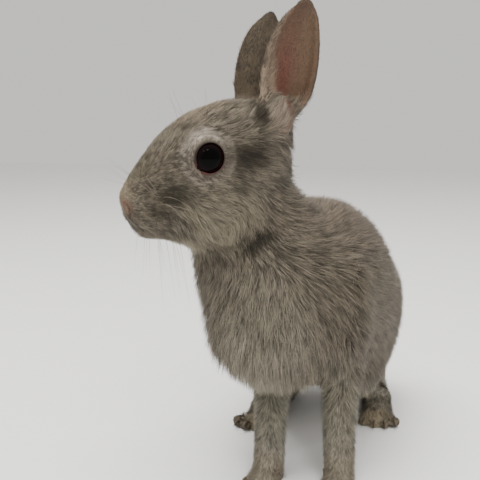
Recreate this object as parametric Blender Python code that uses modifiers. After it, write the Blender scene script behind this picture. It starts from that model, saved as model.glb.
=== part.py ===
"""A young agouti rabbit sitting up on its straight forelegs, its head turned to its right.

The flesh is blocked out from lofts, ellipsoids and tapered tubes, fused and smoothed into one body,
and then parted into named pieces by thin cuts. Every outline is that of the coat.
World axes: +Z up, the body faces -Y, +X is the rabbit's left. Lengths are in metres.
"""

import math

import bmesh
import bpy
from mathutils import Euler, Matrix, Vector

mm = 0.001

# Driving dimensions
gap = 0.38 * mm  # width of every cut between two pieces
trunk_voxel = 2.0 * mm  # grain at which the trunk and the limbs' roots are fused
trunk_passes = 32
flesh_voxel = 1.1 * mm  # grain at which the whole body is fused
flesh_passes = 8
flesh_share = 0.046  # share of the fused triangles kept
parted_share = 0.5  # share of a parted node's triangles kept, which takes away the slivers along its cuts
trunk_share = 0.42  # the same for the trunk, whose forms are broad
ring_points = 24  # points round each lofted section
sole_dip = 0.9 * mm  # how far the soles are pressed flat
eye_radius = 8.0 * mm
eye_segments = 16
ear_thickness = 2.4 * mm
ear_across, ear_along = 7, 10  # faces across and along an ear

# The head stands in a frame of its own: x to its left, y to its back, z up, its origin between the eyes
head_centre = Vector((-44.8, -10.2, 140.9)) * mm
head_turn = math.radians(-53)
eye_centre = Vector((12.0, 1.2, -0.6)) * mm

midline = -3.0  # x of the trunk's middle plane, in mm
sides = {"left": 1, "right": -1}

# Each foot: x and y where its leg comes down, which way its toes point in degrees, and x of the shoulder
# over a forefoot. Each pad: its half width, half length and height, how far its toes reach past it and
# their radius, and each claw's length and radius. Lengths in mm.
fore_feet = {
    "left": {"wrist": (15.0, 8.0), "turn": 4, "shoulder": 16.0},
    "right": {"wrist": (-14.5, 3.0), "turn": -10, "shoulder": -28.0},
}
hind_feet = {
    "left": {"wrist": (25.0, 81.0), "turn": 8},
    "right": {"wrist": (-31.5, 61.5), "turn": -8},
}
fore_pad = {"pad": (8.2, 11.0, 6.4), "toe_reach": 6.6, "toe_radius": 3.0, "claw": (4.6, 0.8)}
hind_pad = {"pad": (9.4, 11.0, 7.2), "toe_reach": 8.4, "toe_radius": 3.5, "claw": (6.2, 1.05)}
heel_distance = 44.0  # from the hind foot's wrist back to its heel


# ---------------------------------------------------------------- scene and materials

def clear_scene():
    for obj in list(bpy.data.objects):
        bpy.data.objects.remove(obj, do_unlink=True)


def new_collection(name):
    made = bpy.data.collections.new(name)
    bpy.context.scene.collection.children.link(made)
    return made


def give_material(obj, colour, roughness):
    material = bpy.data.materials.new(obj.name)
    material.use_nodes = True
    shader = material.node_tree.nodes["Principled BSDF"]
    shader.inputs["Base Color"].default_value = (*colour, 1.0)
    shader.inputs["Roughness"].default_value = roughness
    shader.inputs["Metallic"].default_value = 0.0
    obj.data.materials.clear()
    obj.data.materials.append(material)


def object_from(bm, name, collection):
    mesh = bpy.data.meshes.new(name)
    bm.to_mesh(mesh)
    bm.free()
    made = bpy.data.objects.new(name, mesh)
    collection.objects.link(made)
    return made


# ---------------------------------------------------------------- forms

def smooth_between(rows, share):
    """The row at this share of the way along, on a Catmull-Rom curve through all the rows."""
    place = share * (len(rows) - 1)
    first = min(int(place), len(rows) - 2)
    t = place - first
    before, here = rows[max(first - 1, 0)], rows[first]
    there, after = rows[first + 1], rows[min(first + 2, len(rows) - 1)]
    values = []
    for a, b, c, d in zip(before, here, there, after):
        values.append(0.5 * (2 * b + (c - a) * t + (2 * a - 5 * b + 4 * c - d) * t * t
                             + (3 * b - a - 3 * c + d) * t ** 3))
    return values


def section(bm, y, middle_x, half_width, low, high, fullness):
    """One closed ring across Y. It is widest a little below its middle, and fuller with more fullness."""
    widest = low + 0.46 * (high - low)
    ring = []
    for i in range(ring_points):
        angle = 2 * math.pi * i / ring_points
        across, up = math.cos(angle), math.sin(angle)
        across = math.copysign(abs(across) ** (2 / fullness), across)
        up = math.copysign(abs(up) ** (2 / fullness), up)
        reach = (high - widest) if up > 0 else (widest - low)
        ring.append(bm.verts.new((middle_x + half_width * across, y, widest + reach * up)))
    return ring


def loft(bm, stations, rings, fullness, matrix=Matrix()):
    """Skins a row of sections. Each station is (y, middle x, half width, lowest z, highest z) in mm."""
    before = set(bm.verts)
    made = []
    for i in range(rings):
        row = [value * mm for value in smooth_between(stations, i / (rings - 1))]
        made.append(section(bm, *row, fullness))
    for ring, following in zip(made, made[1:]):
        for i in range(ring_points):
            j = (i + 1) % ring_points
            bm.faces.new((ring[i], ring[j], following[j], following[i]))
    bm.faces.new(reversed(made[0]))
    bm.faces.new(made[-1])
    bmesh.ops.transform(bm, matrix=matrix, verts=[v for v in bm.verts if v not in before])


def ellipsoid(bm, centre, radii, matrix=Matrix(), turn=(0, 0, 0), segments=28):
    """centre and radii are in mm, turn is in degrees about x, y and z."""
    placed = (matrix @ Matrix.Translation(Vector(centre) * mm)
              @ Euler([math.radians(a) for a in turn]).to_matrix().to_4x4()
              @ Matrix.Diagonal((*[r * mm for r in radii], 1)))
    bmesh.ops.create_uvsphere(bm, u_segments=segments, v_segments=segments * 4 // 7, radius=1, matrix=placed)


def tube_mesh(joints, bevel_resolution, resolution):
    """A tapered tube through joints, each (x, y, z, radius) in mm, as a bevelled curve made into mesh."""
    curve = bpy.data.curves.new("tube", "CURVE")
    curve.dimensions = "3D"
    curve.bevel_depth = mm
    curve.bevel_resolution = bevel_resolution
    curve.resolution_u = resolution
    curve.use_fill_caps = True
    spline = curve.splines.new("NURBS")
    spline.points.add(len(joints) - 1)
    for point, (x, y, z, radius) in zip(spline.points, joints):
        point.co = (x * mm, y * mm, z * mm, 1)
        point.radius = radius
    spline.use_endpoint_u = True
    spline.order_u = 3
    carrier = bpy.data.objects.new("tube", curve)
    bpy.context.scene.collection.objects.link(carrier)
    mesh = evaluated_mesh(carrier)
    bpy.data.objects.remove(carrier)
    return mesh


def limb(bm, joints):
    mesh = tube_mesh(joints, 4, 6)
    bm.from_mesh(mesh)
    bmesh.ops.remove_doubles(bm, verts=bm.verts, dist=0.01 * mm)
    bpy.data.meshes.remove(mesh)


# ---------------------------------------------------------------- modifiers and cuts

def evaluated_mesh(obj):
    bpy.context.view_layer.update()
    graph = bpy.context.evaluated_depsgraph_get()
    return bpy.data.meshes.new_from_object(obj.evaluated_get(graph), depsgraph=graph)


def bake_modifiers(obj):
    mesh = evaluated_mesh(obj)
    obj.modifiers.clear()
    obj.data = mesh


def fuse(obj, voxel, passes):
    """Makes the overlapping forms one skin, and softens where they meet."""
    remesh = obj.modifiers.new("fuse", "REMESH")
    remesh.mode = "VOXEL"
    remesh.voxel_size = voxel
    soften = obj.modifiers.new("soften", "SMOOTH")
    soften.factor = 0.6
    soften.iterations = passes
    bake_modifiers(obj)


def thin(obj, share):
    reduce = obj.modifiers.new("thin", "DECIMATE")
    reduce.ratio = share
    bake_modifiers(obj)


def cut(obj, cutter, operation):
    """Leaves obj with the cutter taken away, DIFFERENCE, or with what lies inside it, INTERSECT."""
    modifier = obj.modifiers.new("cut", "BOOLEAN")
    modifier.operation = operation
    modifier.object = cutter
    bake_modifiers(obj)


def taken_from(body, name, make_cutter):
    """Parts a new piece off the body. make_cutter(extra) builds the region to take, grown by extra."""
    piece = bpy.data.objects.new(name, body.data.copy())
    rabbit.objects.link(piece)
    cut(piece, make_cutter(0), "INTERSECT")
    cut(body, make_cutter(gap), "DIFFERENCE")
    return piece


def as_cutter(bm, name):
    made = object_from(bm, "cut_" + name, cutters)
    made.hide_render = True
    made.display_type = "WIRE"
    return made


def block_cutter(name, low, high, matrix=Matrix()):
    """A function that makes a box from low to high, in mm. It grows on all sides."""
    def make(extra):
        low_corner = Vector(low) * mm - Vector((extra,) * 3)
        high_corner = Vector(high) * mm + Vector((extra,) * 3)
        bm = bmesh.new()
        size = Matrix.Diagonal((*(high_corner - low_corner), 1))
        place = Matrix.Translation((low_corner + high_corner) / 2)
        bmesh.ops.create_cube(bm, size=1, matrix=matrix @ place @ size)
        return as_cutter(bm, name)
    return make


def ellipsoid_cutter(name, centre, radii, matrix=Matrix(), turn=(0, 0, 0), segments=12):
    def make(extra):
        bm = bmesh.new()
        ellipsoid(bm, centre, [r + extra / mm for r in radii], matrix, turn, segments)
        return as_cutter(bm, name)
    return make


def beyond_cutter(name, point, direction, matrix=Matrix()):
    """Takes all that lies beyond a plane through a point, in mm, on the side that direction points to."""
    turn = Vector(direction).to_track_quat("Z", "Y").to_matrix().to_4x4()
    frame = matrix @ Matrix.Translation(Vector(point) * mm) @ turn
    return block_cutter(name, (-70, -70, 0), (70, 70, 120), frame)


# ---------------------------------------------------------------- the trunk and the roots of the limbs

def block_out_trunk(bm):
    # From the breast back to the rump: y, middle x, half width, lowest z, highest z
    loft(bm, [
        (-21, -18, 8, 66, 92),
        (-17, -18, 19, 55, 102),
        (-7, -16.5, 28.5, 44, 109),
        (9, -12.5, 32.5, 38, 115),
        (28, -8, 35.5, 33, 119),
        (48, -5, 37.5, 26, 120.5),
        (68, -3.5, 39, 18, 118),
        (88, midline, 38.5, 11, 108),
        (106, midline, 34, 9, 90),
        (119, midline, 24, 13, 66),
        (126, midline, 9, 24, 45),
    ], 44, 2.15)
    # The neck runs from between the shoulders up to the back of the skull
    limb(bm, [(-12, 30, 84, 27), (-16, 20, 100, 26.5), (-24.5, 8.5, 116, 24), (-28, 3, 130, 19)])
    ellipsoid(bm, (-29, 3, 94), (22.5, 21, 25), turn=(0, 6, 0))  # throat


def block_out_limb_roots(bm):
    for name, side in sides.items():
        x = fore_feet[name]["shoulder"]
        ellipsoid(bm, (x, 16, 70), (13, 20, 30), turn=(-8, side * 8, 0))  # shoulder
        x, y = hind_feet[name]["wrist"]
        ellipsoid(bm, (midline + side * 22, y + 11, 50), (18, 32, 37), turn=(-24, side * 8, 0))  # thigh
        ellipsoid(bm, (midline + side * 21.5, y - 4, 34), (12, 20, 23), turn=(-24, side * 6, 0))  # knee


# ---------------------------------------------------------------- the head, the lower legs and the tail

def head_frame():
    return Matrix.Translation(head_centre) @ Matrix.Rotation(head_turn, 4, "Z")


def block_out_head(bm):
    frame = head_frame()
    # From the nose tip back to the nape: y, middle x, half width, lowest z, highest z
    loft(bm, [
        (-29.6, 0, 3.0, -21.5, -13.4),
        (-27.6, 0, 5.4, -26.6, -9.2),
        (-22.6, 0, 9.0, -31.0, -2.8),
        (-15.0, 0, 13.4, -34.4, 7.0),
        (-5.0, 0, 17.0, -37.6, 15.4),
        (5.0, 0, 19.8, -41.5, 20.0),
        (16.0, 0, 21.4, -44.0, 23.0),
        (26.0, 0, 20.8, -42.0, 22.5),
        (35.0, 0, 18.0, -36.0, 18.5),
        (41.0, 0, 13.0, -29.0, 13.0),
        (44.0, 0, 7.5, -20.0, 5.0),
    ], 34, 2.25, frame)
    for side in sides.values():
        ellipsoid(bm, (side * 5.6, -18.6, -22.8), (6.8, 8.6, 7.6), frame)  # whisker pad
        ellipsoid(bm, (side * 12.0, 6.0, -21.0), (10.6, 16.0, 15.5), frame)  # cheek
        ellipsoid(bm, (side * 11.6, 2.5, 7.0), (5.0, 12.5, 6.2), frame, (12, 0, side * 6))  # brow
        ellipsoid(bm, (side * 12.4, 31.0, 12.4), (8.4, 10.8, 12.6), frame, (-14, 0, 0))  # root of the ear
    ellipsoid(bm, (0, -18.5, -29.4), (6.4, 7.0, 4.6), frame)  # chin
    ellipsoid(bm, (0, -27.0, -15.8), (4.4, 3.2, 5.0), frame)  # nose pad


def block_out_tail(bm):
    ellipsoid(bm, (midline, 124, 35), (9.5, 8.5, 17), turn=(-14, 0, 0))


def foot_frame(foot):
    x, y = foot["wrist"]
    return Matrix.Translation(Vector((x, y, 0)) * mm) @ Matrix.Rotation(math.radians(foot["turn"]), 4, "Z")


def toe_places(form):
    """Each main toe's root and splay in the foot's frame: x and y in mm, and degrees."""
    half_width = form["pad"][0]
    places = []
    for i in range(4):
        across = (i - 1.5) / 1.5
        places.append((across * (half_width - 2.2), -9.0 - 2.6 * (1 - across * across), across * 13))
    return places


def block_out_foot(bm, foot, form):
    frame = foot_frame(foot)
    half_width, half_length, height = form["pad"]
    ellipsoid(bm, (0, -2.5, height * 0.62), (half_width, half_length, height), frame)
    radius, reach = form["toe_radius"], form["toe_reach"]
    for x, y, splay in toe_places(form):
        ellipsoid(bm, (x, y, radius), (radius, reach, radius + 0.7), frame, (6, 0, splay))


def block_out_lower_legs(bm):
    for name, side in sides.items():
        foot = fore_feet[name]
        x, y = foot["wrist"]
        limb(bm, [
            (x + side * 2 - 2, 17, 68, 12),
            (x + side * 2 - 2, 17, 47, 11),
            (x - 1.5, 12, 30, 9.4),
            (x - 0.5, y + 1, 14, 8.4),
            (x, y - 2, 7, 8.4),
        ])
        block_out_foot(bm, foot, fore_pad)
        foot = hind_feet[name]
        x, y = foot["wrist"]
        heel_x, heel_y = (foot_frame(foot) @ Vector((0, heel_distance * mm, 0))).xy / mm
        limb(bm, [
            (heel_x - side * 2, heel_y - 20, 32, 11),
            (heel_x - side, heel_y - 4, 12, 9),
            (heel_x, heel_y - 16, 8.6, 9.2),
            (x, y, 8, 9.2),
        ])
        ellipsoid(bm, (heel_x, heel_y - 2, 8.8), (8.4, 8.5, 8.6))  # heel
        block_out_foot(bm, foot, hind_pad)


def fused_body():
    bm = bmesh.new()
    block_out_trunk(bm)
    block_out_limb_roots(bm)
    roots = object_from(bm, "roots", rabbit)
    fuse(roots, trunk_voxel, trunk_passes)
    bm = bmesh.new()
    bm.from_mesh(roots.data)
    bpy.data.objects.remove(roots)
    block_out_head(bm)
    block_out_lower_legs(bm)
    block_out_tail(bm)
    body = object_from(bm, "trunk", rabbit)
    fuse(body, flesh_voxel, flesh_passes)
    thin(body, flesh_share)
    return body


# ---------------------------------------------------------------- parting the body

def part_head(body):
    frame = head_frame()
    throat_to_nape = (0, -0.765, 0.644)
    head = taken_from(body, "head", beyond_cutter("head", (0, 11, -42), throat_to_nape, frame))
    collar = (0, -0.49, 0.87)
    taken_from(body, "neck", beyond_cutter("neck", (-20, -20, 86), collar))
    mouth = frame @ Matrix.Translation(Vector((0, -34, -26.6)) * mm) @ Matrix.Rotation(math.radians(-7), 4, "X")
    taken_from(head, "lower_jaw", block_cutter("lower_jaw", (-30, -8, -30), (30, 38, 0), mouth))
    taken_from(head, "nose", ellipsoid_cutter("nose", (0, -30.0, -16.0), (5.6, 4.6, 6.4), frame))
    return head


def part_limbs(body):
    """Takes each limb off in pieces, from the floor up, so that each region ends where the last one did."""
    paws = {}
    for name, side in sides.items():
        foot = fore_feet[name]
        frame = foot_frame(foot)
        paw = block_cutter("paw", (-14, -26, -4), (14, 13, 13.5), frame)
        forearm = block_cutter("forearm", (-17, -12, 0), (17, 21, 31), frame)
        shoulder = (foot["shoulder"] + side * 5, 16, 66)
        upper_arm = ellipsoid_cutter("upper_arm", shoulder, (15, 19, 32), turn=(-8, side * 8, 0))
        paws["fore_" + name] = taken_from(body, "fore_" + name + "_paw", paw)
        taken_from(body, "fore_" + name + "_forearm", forearm)
        taken_from(body, "fore_" + name + "_upper_arm", upper_arm)

        foot = hind_feet[name]
        frame = foot_frame(foot)
        x, y = foot["wrist"]
        sole = block_cutter("sole", (-14, -26, -4), (14, heel_distance + 14, 16), frame)
        haunch = (midline + side * 29, y + 7, 47)
        thigh = ellipsoid_cutter("thigh", haunch, (18, 42, 38), turn=(-24, side * 8, 0))
        paws["hind_" + name] = taken_from(body, "hind_" + name + "_foot", sole)
        taken_from(body, "hind_" + name + "_thigh", thigh)
    return paws


def press_flat(paw):
    cut(paw, block_cutter("floor", (-200, -200, -40), (200, 300, sole_dip / mm))(0), "DIFFERENCE")


# ---------------------------------------------------------------- eyes, ears and claws

def add_eye(head, name, side, head_axes):
    """A ball with its pole pointing outwards, in a socket of the head."""
    bm = bmesh.new()
    bmesh.ops.create_uvsphere(bm, u_segments=eye_segments, v_segments=eye_segments * 4 // 7, radius=eye_radius)
    eye = object_from(bm, "eye_" + name, rabbit)
    eye.parent = head_axes
    eye.location = (side * eye_centre.x, eye_centre.y, eye_centre.z)
    eye.rotation_euler = (0, side * math.pi / 2, 0)
    centre = (side * eye_centre.x / mm, eye_centre.y / mm, eye_centre.z / mm)
    turn = (0, side * 90, 0)
    socket = ellipsoid_cutter("socket", centre, [eye_radius / mm] * 3, head_frame(), turn, eye_segments)
    cut(head, socket(gap), "DIFFERENCE")


# From an ear's root to its tip, in the head's frame: x outwards, y, z, half the chord from edge to edge,
# and how many degrees of arc the section bends through
ear_stations = [
    (11.5, 29.6, 8.0, 6.6, 210),
    (12.0, 33.4, 17.0, 8.6, 165),
    (12.6, 36.0, 27.0, 10.3, 125),
    (13.6, 37.2, 37.0, 10.4, 104),
    (15.0, 38.6, 47.0, 8.6, 88),
    (16.2, 40.4, 54.5, 5.2, 76),
    (17.0, 41.8, 58.6, 0.9, 70),
]
# How far each ear is turned to face forwards, in degrees, how far its root stands forward and how much
# lower its tip is, in mm
ear_poses = {
    "left": {"turn": 17, "forward": 0.0, "lower": 0.0},
    "right": {"turn": 2, "forward": 3.6, "lower": 1.4},
}
edge_share = 0.5  # an ear's thickness at its edge, as a share of that in its middle


def make_ear(name, side, pose, extra):
    """A sheet bent into a trough that flattens towards its tip, with its wall thinner at the edges."""
    bm = bmesh.new()
    turn = math.radians(pose["turn"])
    opening = Vector((math.cos(turn), -math.sin(turn), 0))
    chord = Vector((math.sin(turn), math.cos(turn), 0))
    rows = []
    for i in range(ear_along + 1):
        x, y, z, half_chord, arc = smooth_between(ear_stations, i / ear_along)
        y -= pose["forward"] * (1 - i / ear_along)
        z -= pose["lower"] * i / ear_along
        if i == 0:
            z -= extra / mm
        half_arc = math.radians(arc) / 2
        radius = half_chord / math.sin(half_arc)
        span = half_arc + extra / mm / radius
        row = []
        for j in range(ear_across + 1):
            angle = span * (2 * j / ear_across - 1)
            depth = radius * (math.cos(angle) - math.cos(half_arc))
            place = Vector((x, y, z)) + chord * (radius * math.sin(angle)) - opening * depth
            row.append(bm.verts.new(place * mm))
        rows.append(row)
    for row, following in zip(rows, rows[1:]):
        for j in range(ear_across):
            bm.faces.new((row[j], following[j], following[j + 1], row[j + 1]))
    bmesh.ops.transform(bm, matrix=head_frame() @ Matrix.Diagonal((side, 1, 1, 1)), verts=bm.verts)
    bmesh.ops.recalc_face_normals(bm, faces=bm.faces)
    ear = object_from(bm, name, rabbit if extra == 0 else cutters)
    wall = ear_thickness + 2 * extra
    weights = ear.vertex_groups.new(name="wall")
    for i in range(ear_along + 1):
        for j in range(ear_across + 1):
            from_middle = abs(2 * j / ear_across - 1)
            share = 1 - (1 - edge_share) * from_middle ** 3
            weight = (ear_thickness * share + 2 * extra) / wall
            weights.add([i * (ear_across + 1) + j], weight, "REPLACE")
    thicken = ear.modifiers.new("wall", "SOLIDIFY")
    thicken.thickness = wall
    thicken.offset = 0
    thicken.vertex_group = "wall"
    bake_modifiers(ear)
    return ear


def add_ear(head, name, side):
    make_ear("ear_" + name, side, ear_poses[name], 0)
    slot = make_ear("cut_ear", side, ear_poses[name], gap)
    slot.hide_render = True
    slot.display_type = "WIRE"
    cut(head, slot, "DIFFERENCE")


def claw_mesh(joints, matrix, extra):
    """A small horn through joints in mm, seated in the toe. Grown by extra, it is the socket's cutter."""
    grown = [(x, y, z, radius + extra / mm) for x, y, z, radius in joints]
    if extra:
        x, y, z, radius = grown[0]
        grown[0] = (x, y + extra / mm, z, radius)
    mesh = tube_mesh(grown, 1, 2)
    bm = bmesh.new()
    bm.from_mesh(mesh)
    bpy.data.meshes.remove(mesh)
    bmesh.ops.remove_doubles(bm, verts=bm.verts, dist=0.01 * mm)
    bmesh.ops.transform(bm, matrix=matrix, verts=bm.verts)
    return bm


def add_claws(paw, name, foot, form, inner_side):
    """Four claws on the main toes, and on a fore paw a fifth one higher up on its inner side."""
    length, radius = form["claw"]
    reach, toe_radius = form["toe_reach"], form["toe_radius"]
    half_width = form["pad"][0]
    roots = [(x, y - reach + 2.8, toe_radius + 1.4, splay) for x, y, splay in toe_places(form)]
    if name.startswith("fore"):
        roots.append((inner_side * (half_width - 1.6), -6.0, 7.4, -inner_side * 8))
    for i, (x, y, z, splay) in enumerate(roots):
        joints = [
            (0, 0, 0, radius),
            (0, -0.55 * length, 0.2, radius * 0.85),
            (0, -length, -0.4 * length, radius * 0.22),
        ]
        matrix = (foot_frame(foot) @ Matrix.Translation(Vector((x, y, z)) * mm)
                  @ Matrix.Rotation(math.radians(splay), 4, "Z"))
        object_from(claw_mesh(joints, matrix, 0), name + "_claw_" + str(i + 1), rabbit)
        cut(paw, as_cutter(claw_mesh(joints, matrix, gap), "claw"), "DIFFERENCE")


# ---------------------------------------------------------------- the whole rabbit

def colour_nodes():
    coat, pale_coat, ear_skin = (0.34, 0.30, 0.25), (0.52, 0.48, 0.42), (0.50, 0.33, 0.28)
    horn, eye_black, nose_pink = (0.07, 0.05, 0.04), (0.012, 0.006, 0.005), (0.46, 0.30, 0.25)
    for obj in rabbit.objects:
        if obj.type != "MESH":
            continue
        obj.data.shade_smooth()
        obj.data.set_sharp_from_angle(angle=math.radians(40))
        if "claw" in obj.name:
            give_material(obj, horn, 0.35)
        elif obj.name.startswith("eye"):
            give_material(obj, eye_black, 0.06)
        elif obj.name == "nose":
            give_material(obj, nose_pink, 0.6)
        elif obj.name.startswith("ear"):
            give_material(obj, ear_skin, 0.75)
        elif "jaw" in obj.name or "paw" in obj.name or "foot" in obj.name:
            give_material(obj, pale_coat, 0.9)
        else:
            give_material(obj, coat, 0.9)


def shift_to_bottom_centre():
    """Moves the origin to the middle of the bottom of the whole rabbit's box."""
    bpy.context.view_layer.update()
    low, high = Vector((9, 9, 9)), Vector((-9, -9, -9))
    meshes = [obj for obj in rabbit.objects if obj.type == "MESH"]
    for obj in meshes:
        for vertex in obj.data.vertices:
            place = obj.matrix_world @ vertex.co
            low = Vector(map(min, low, place))
            high = Vector(map(max, high, place))
    shift = -Vector(((low.x + high.x) / 2, (low.y + high.y) / 2, low.z))
    for obj in rabbit.objects:
        if obj.parent is None:
            obj.location += shift
    return shift


clear_scene()
rabbit = new_collection("rabbit")
cutters = new_collection("cutters")

trunk = fused_body()
head = part_head(trunk)
taken_from(trunk, "tail", block_cutter("tail", (midline - 12, 121, 15), (midline + 12, 145, 58)))
paws = part_limbs(trunk)
for piece in rabbit.objects:
    thin(piece, trunk_share if piece is trunk else parted_share)
for paw in paws.values():
    press_flat(paw)

head_axes = bpy.data.objects.new("head_axes", None)
head_axes.matrix_world = head_frame()
rabbit.objects.link(head_axes)
for name, side in sides.items():
    add_eye(head, name, side, head_axes)
    add_ear(head, name, side)
    add_claws(paws["fore_" + name], "fore_" + name, fore_feet[name], fore_pad, -side)
    add_claws(paws["hind_" + name], "hind_" + name, hind_feet[name], hind_pad, -side)

colour_nodes()
origin_shift = shift_to_bottom_centre()
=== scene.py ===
import math

import bmesh
import bpy
import numpy as np
from mathutils import Matrix, Vector, noise
from mathutils.bvhtree import BVHTree
from mathutils.kdtree import KDTree


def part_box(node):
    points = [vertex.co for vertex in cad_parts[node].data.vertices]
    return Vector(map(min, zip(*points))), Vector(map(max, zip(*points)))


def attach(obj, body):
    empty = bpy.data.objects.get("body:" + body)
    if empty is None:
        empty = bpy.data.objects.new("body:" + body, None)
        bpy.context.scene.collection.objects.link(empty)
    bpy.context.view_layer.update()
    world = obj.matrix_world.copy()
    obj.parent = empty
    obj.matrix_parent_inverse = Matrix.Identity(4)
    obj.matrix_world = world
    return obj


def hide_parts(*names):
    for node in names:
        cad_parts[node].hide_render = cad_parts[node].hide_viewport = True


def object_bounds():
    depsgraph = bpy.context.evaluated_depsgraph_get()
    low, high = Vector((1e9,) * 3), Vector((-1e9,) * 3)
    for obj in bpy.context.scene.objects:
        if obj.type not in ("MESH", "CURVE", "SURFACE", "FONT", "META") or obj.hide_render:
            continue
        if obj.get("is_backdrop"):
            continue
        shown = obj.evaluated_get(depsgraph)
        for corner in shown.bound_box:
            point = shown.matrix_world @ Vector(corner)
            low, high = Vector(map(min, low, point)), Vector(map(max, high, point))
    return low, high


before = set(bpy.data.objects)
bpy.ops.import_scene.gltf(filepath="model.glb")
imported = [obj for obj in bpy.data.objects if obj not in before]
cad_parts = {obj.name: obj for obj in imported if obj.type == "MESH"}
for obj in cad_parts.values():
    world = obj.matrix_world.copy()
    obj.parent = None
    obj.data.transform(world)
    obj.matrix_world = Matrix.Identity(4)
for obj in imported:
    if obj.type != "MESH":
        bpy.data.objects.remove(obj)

# A young agouti rabbit dressed in its coat: one skin over all the flesh, then tufts, eyes,
# whiskers and claws.
# Everything is in metres. Values in mm are multiplied by mm where they are used.

mm = 0.001
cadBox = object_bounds()
dice = np.random.default_rng(11)
sides = {"left": 1, "right": -1}
fleshNodes = [name for name in sorted(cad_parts) if "eye" not in name and "claw" not in name]


# Small helpers that every stage uses

def selectOnly(*objects):
    bpy.ops.object.select_all(action="DESELECT")
    for obj in objects:
        obj.select_set(True)
    bpy.context.view_layer.objects.active = objects[0]


def addObject(name, data):
    obj = bpy.data.objects.new(name, data)
    bpy.context.scene.collection.objects.link(obj)
    return obj


def applyModifier(obj, kind, settings):
    selectOnly(obj)
    modifier = obj.modifiers.new(kind.lower(), kind)
    for name, value in settings.items():
        setattr(modifier, name, value)
    bpy.ops.object.modifier_apply(modifier=modifier.name)


def readAll(items, field, width, kind=np.float32):
    values = np.empty(len(items) * width, kind)
    items.foreach_get(field, values)
    return values.reshape(-1, width)


def pointsOf(mesh):
    return readAll(mesh.vertices, "co", 3).astype(float)


def normalsOf(mesh):
    return readAll(mesh.vertex_normals, "vector", 3).astype(float)


def edgesOf(mesh):
    return readAll(mesh.edges, "vertices", 2, np.int32)


def movePoints(mesh, points):
    mesh.vertices.foreach_set("co", points.astype(np.float32).ravel())
    mesh.update()


def unit(vectors):
    return vectors / np.maximum(np.linalg.norm(vectors, axis=-1, keepdims=True), 1e-12)


def softStep(values):
    # rises from 0 to 1 as the values pass 0
    return 1 / (1 + np.exp(-np.clip(values, -40, 40)))


def surfaceTree(mesh):
    return BVHTree.FromPolygons(pointsOf(mesh).tolist(), [face.vertices for face in mesh.polygons])


def placeTree(points):
    tree = KDTree(len(points))
    for i, place in enumerate(points.tolist()):
        tree.insert(place, i)
    tree.balance()
    return tree


def writeColours(mesh, name, colours):
    layer = mesh.attributes.new(name, "FLOAT_COLOR", "POINT")
    filled = np.ones((len(colours), 4), np.float32)
    filled[:, :3] = colours
    layer.data.foreach_set("color", filled.ravel())


def writeVectors(mesh, name, vectors):
    layer = mesh.attributes.new(name, "FLOAT_VECTOR", "POINT")
    layer.data.foreach_set("vector", vectors.astype(np.float32).ravel())


def triangles(obj):
    return sum(len(face.vertices) - 2 for face in obj.data.polygons)


# The head has a frame of its own, taken from the two eyes: x to its left, y to its back, z up, in mm

def middleOf(node):
    low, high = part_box(node)
    return (low + high) / 2


eyeMiddles = {side: middleOf("eye_" + side) for side in sides}
headOrigin = (eyeMiddles["left"] + eyeMiddles["right"]) / 2
headX = (eyeMiddles["left"] - eyeMiddles["right"]).normalized()
headY = Vector((0, 0, 1)).cross(headX)
headAxes = np.array([headX, headY, (0, 0, 1)])      # rows
eyeApart = (eyeMiddles["left"] - eyeMiddles["right"]).length / 2 / mm
eyeLow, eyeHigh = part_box("eye_left")
eyeRadius = (eyeHigh.z - eyeLow.z) / 2 / mm


def toHead(points):
    return (points - np.array(headOrigin)) @ headAxes.T / mm


def fromHead(places):
    return np.asarray(places, float) * mm @ headAxes + np.array(headOrigin)


def turnFromHead(vectors):
    return np.asarray(vectors, float) @ headAxes


def inBox(node, share):
    low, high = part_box(node)
    return np.array(low) + (np.array(high) - np.array(low)) * np.array(share)


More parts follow.
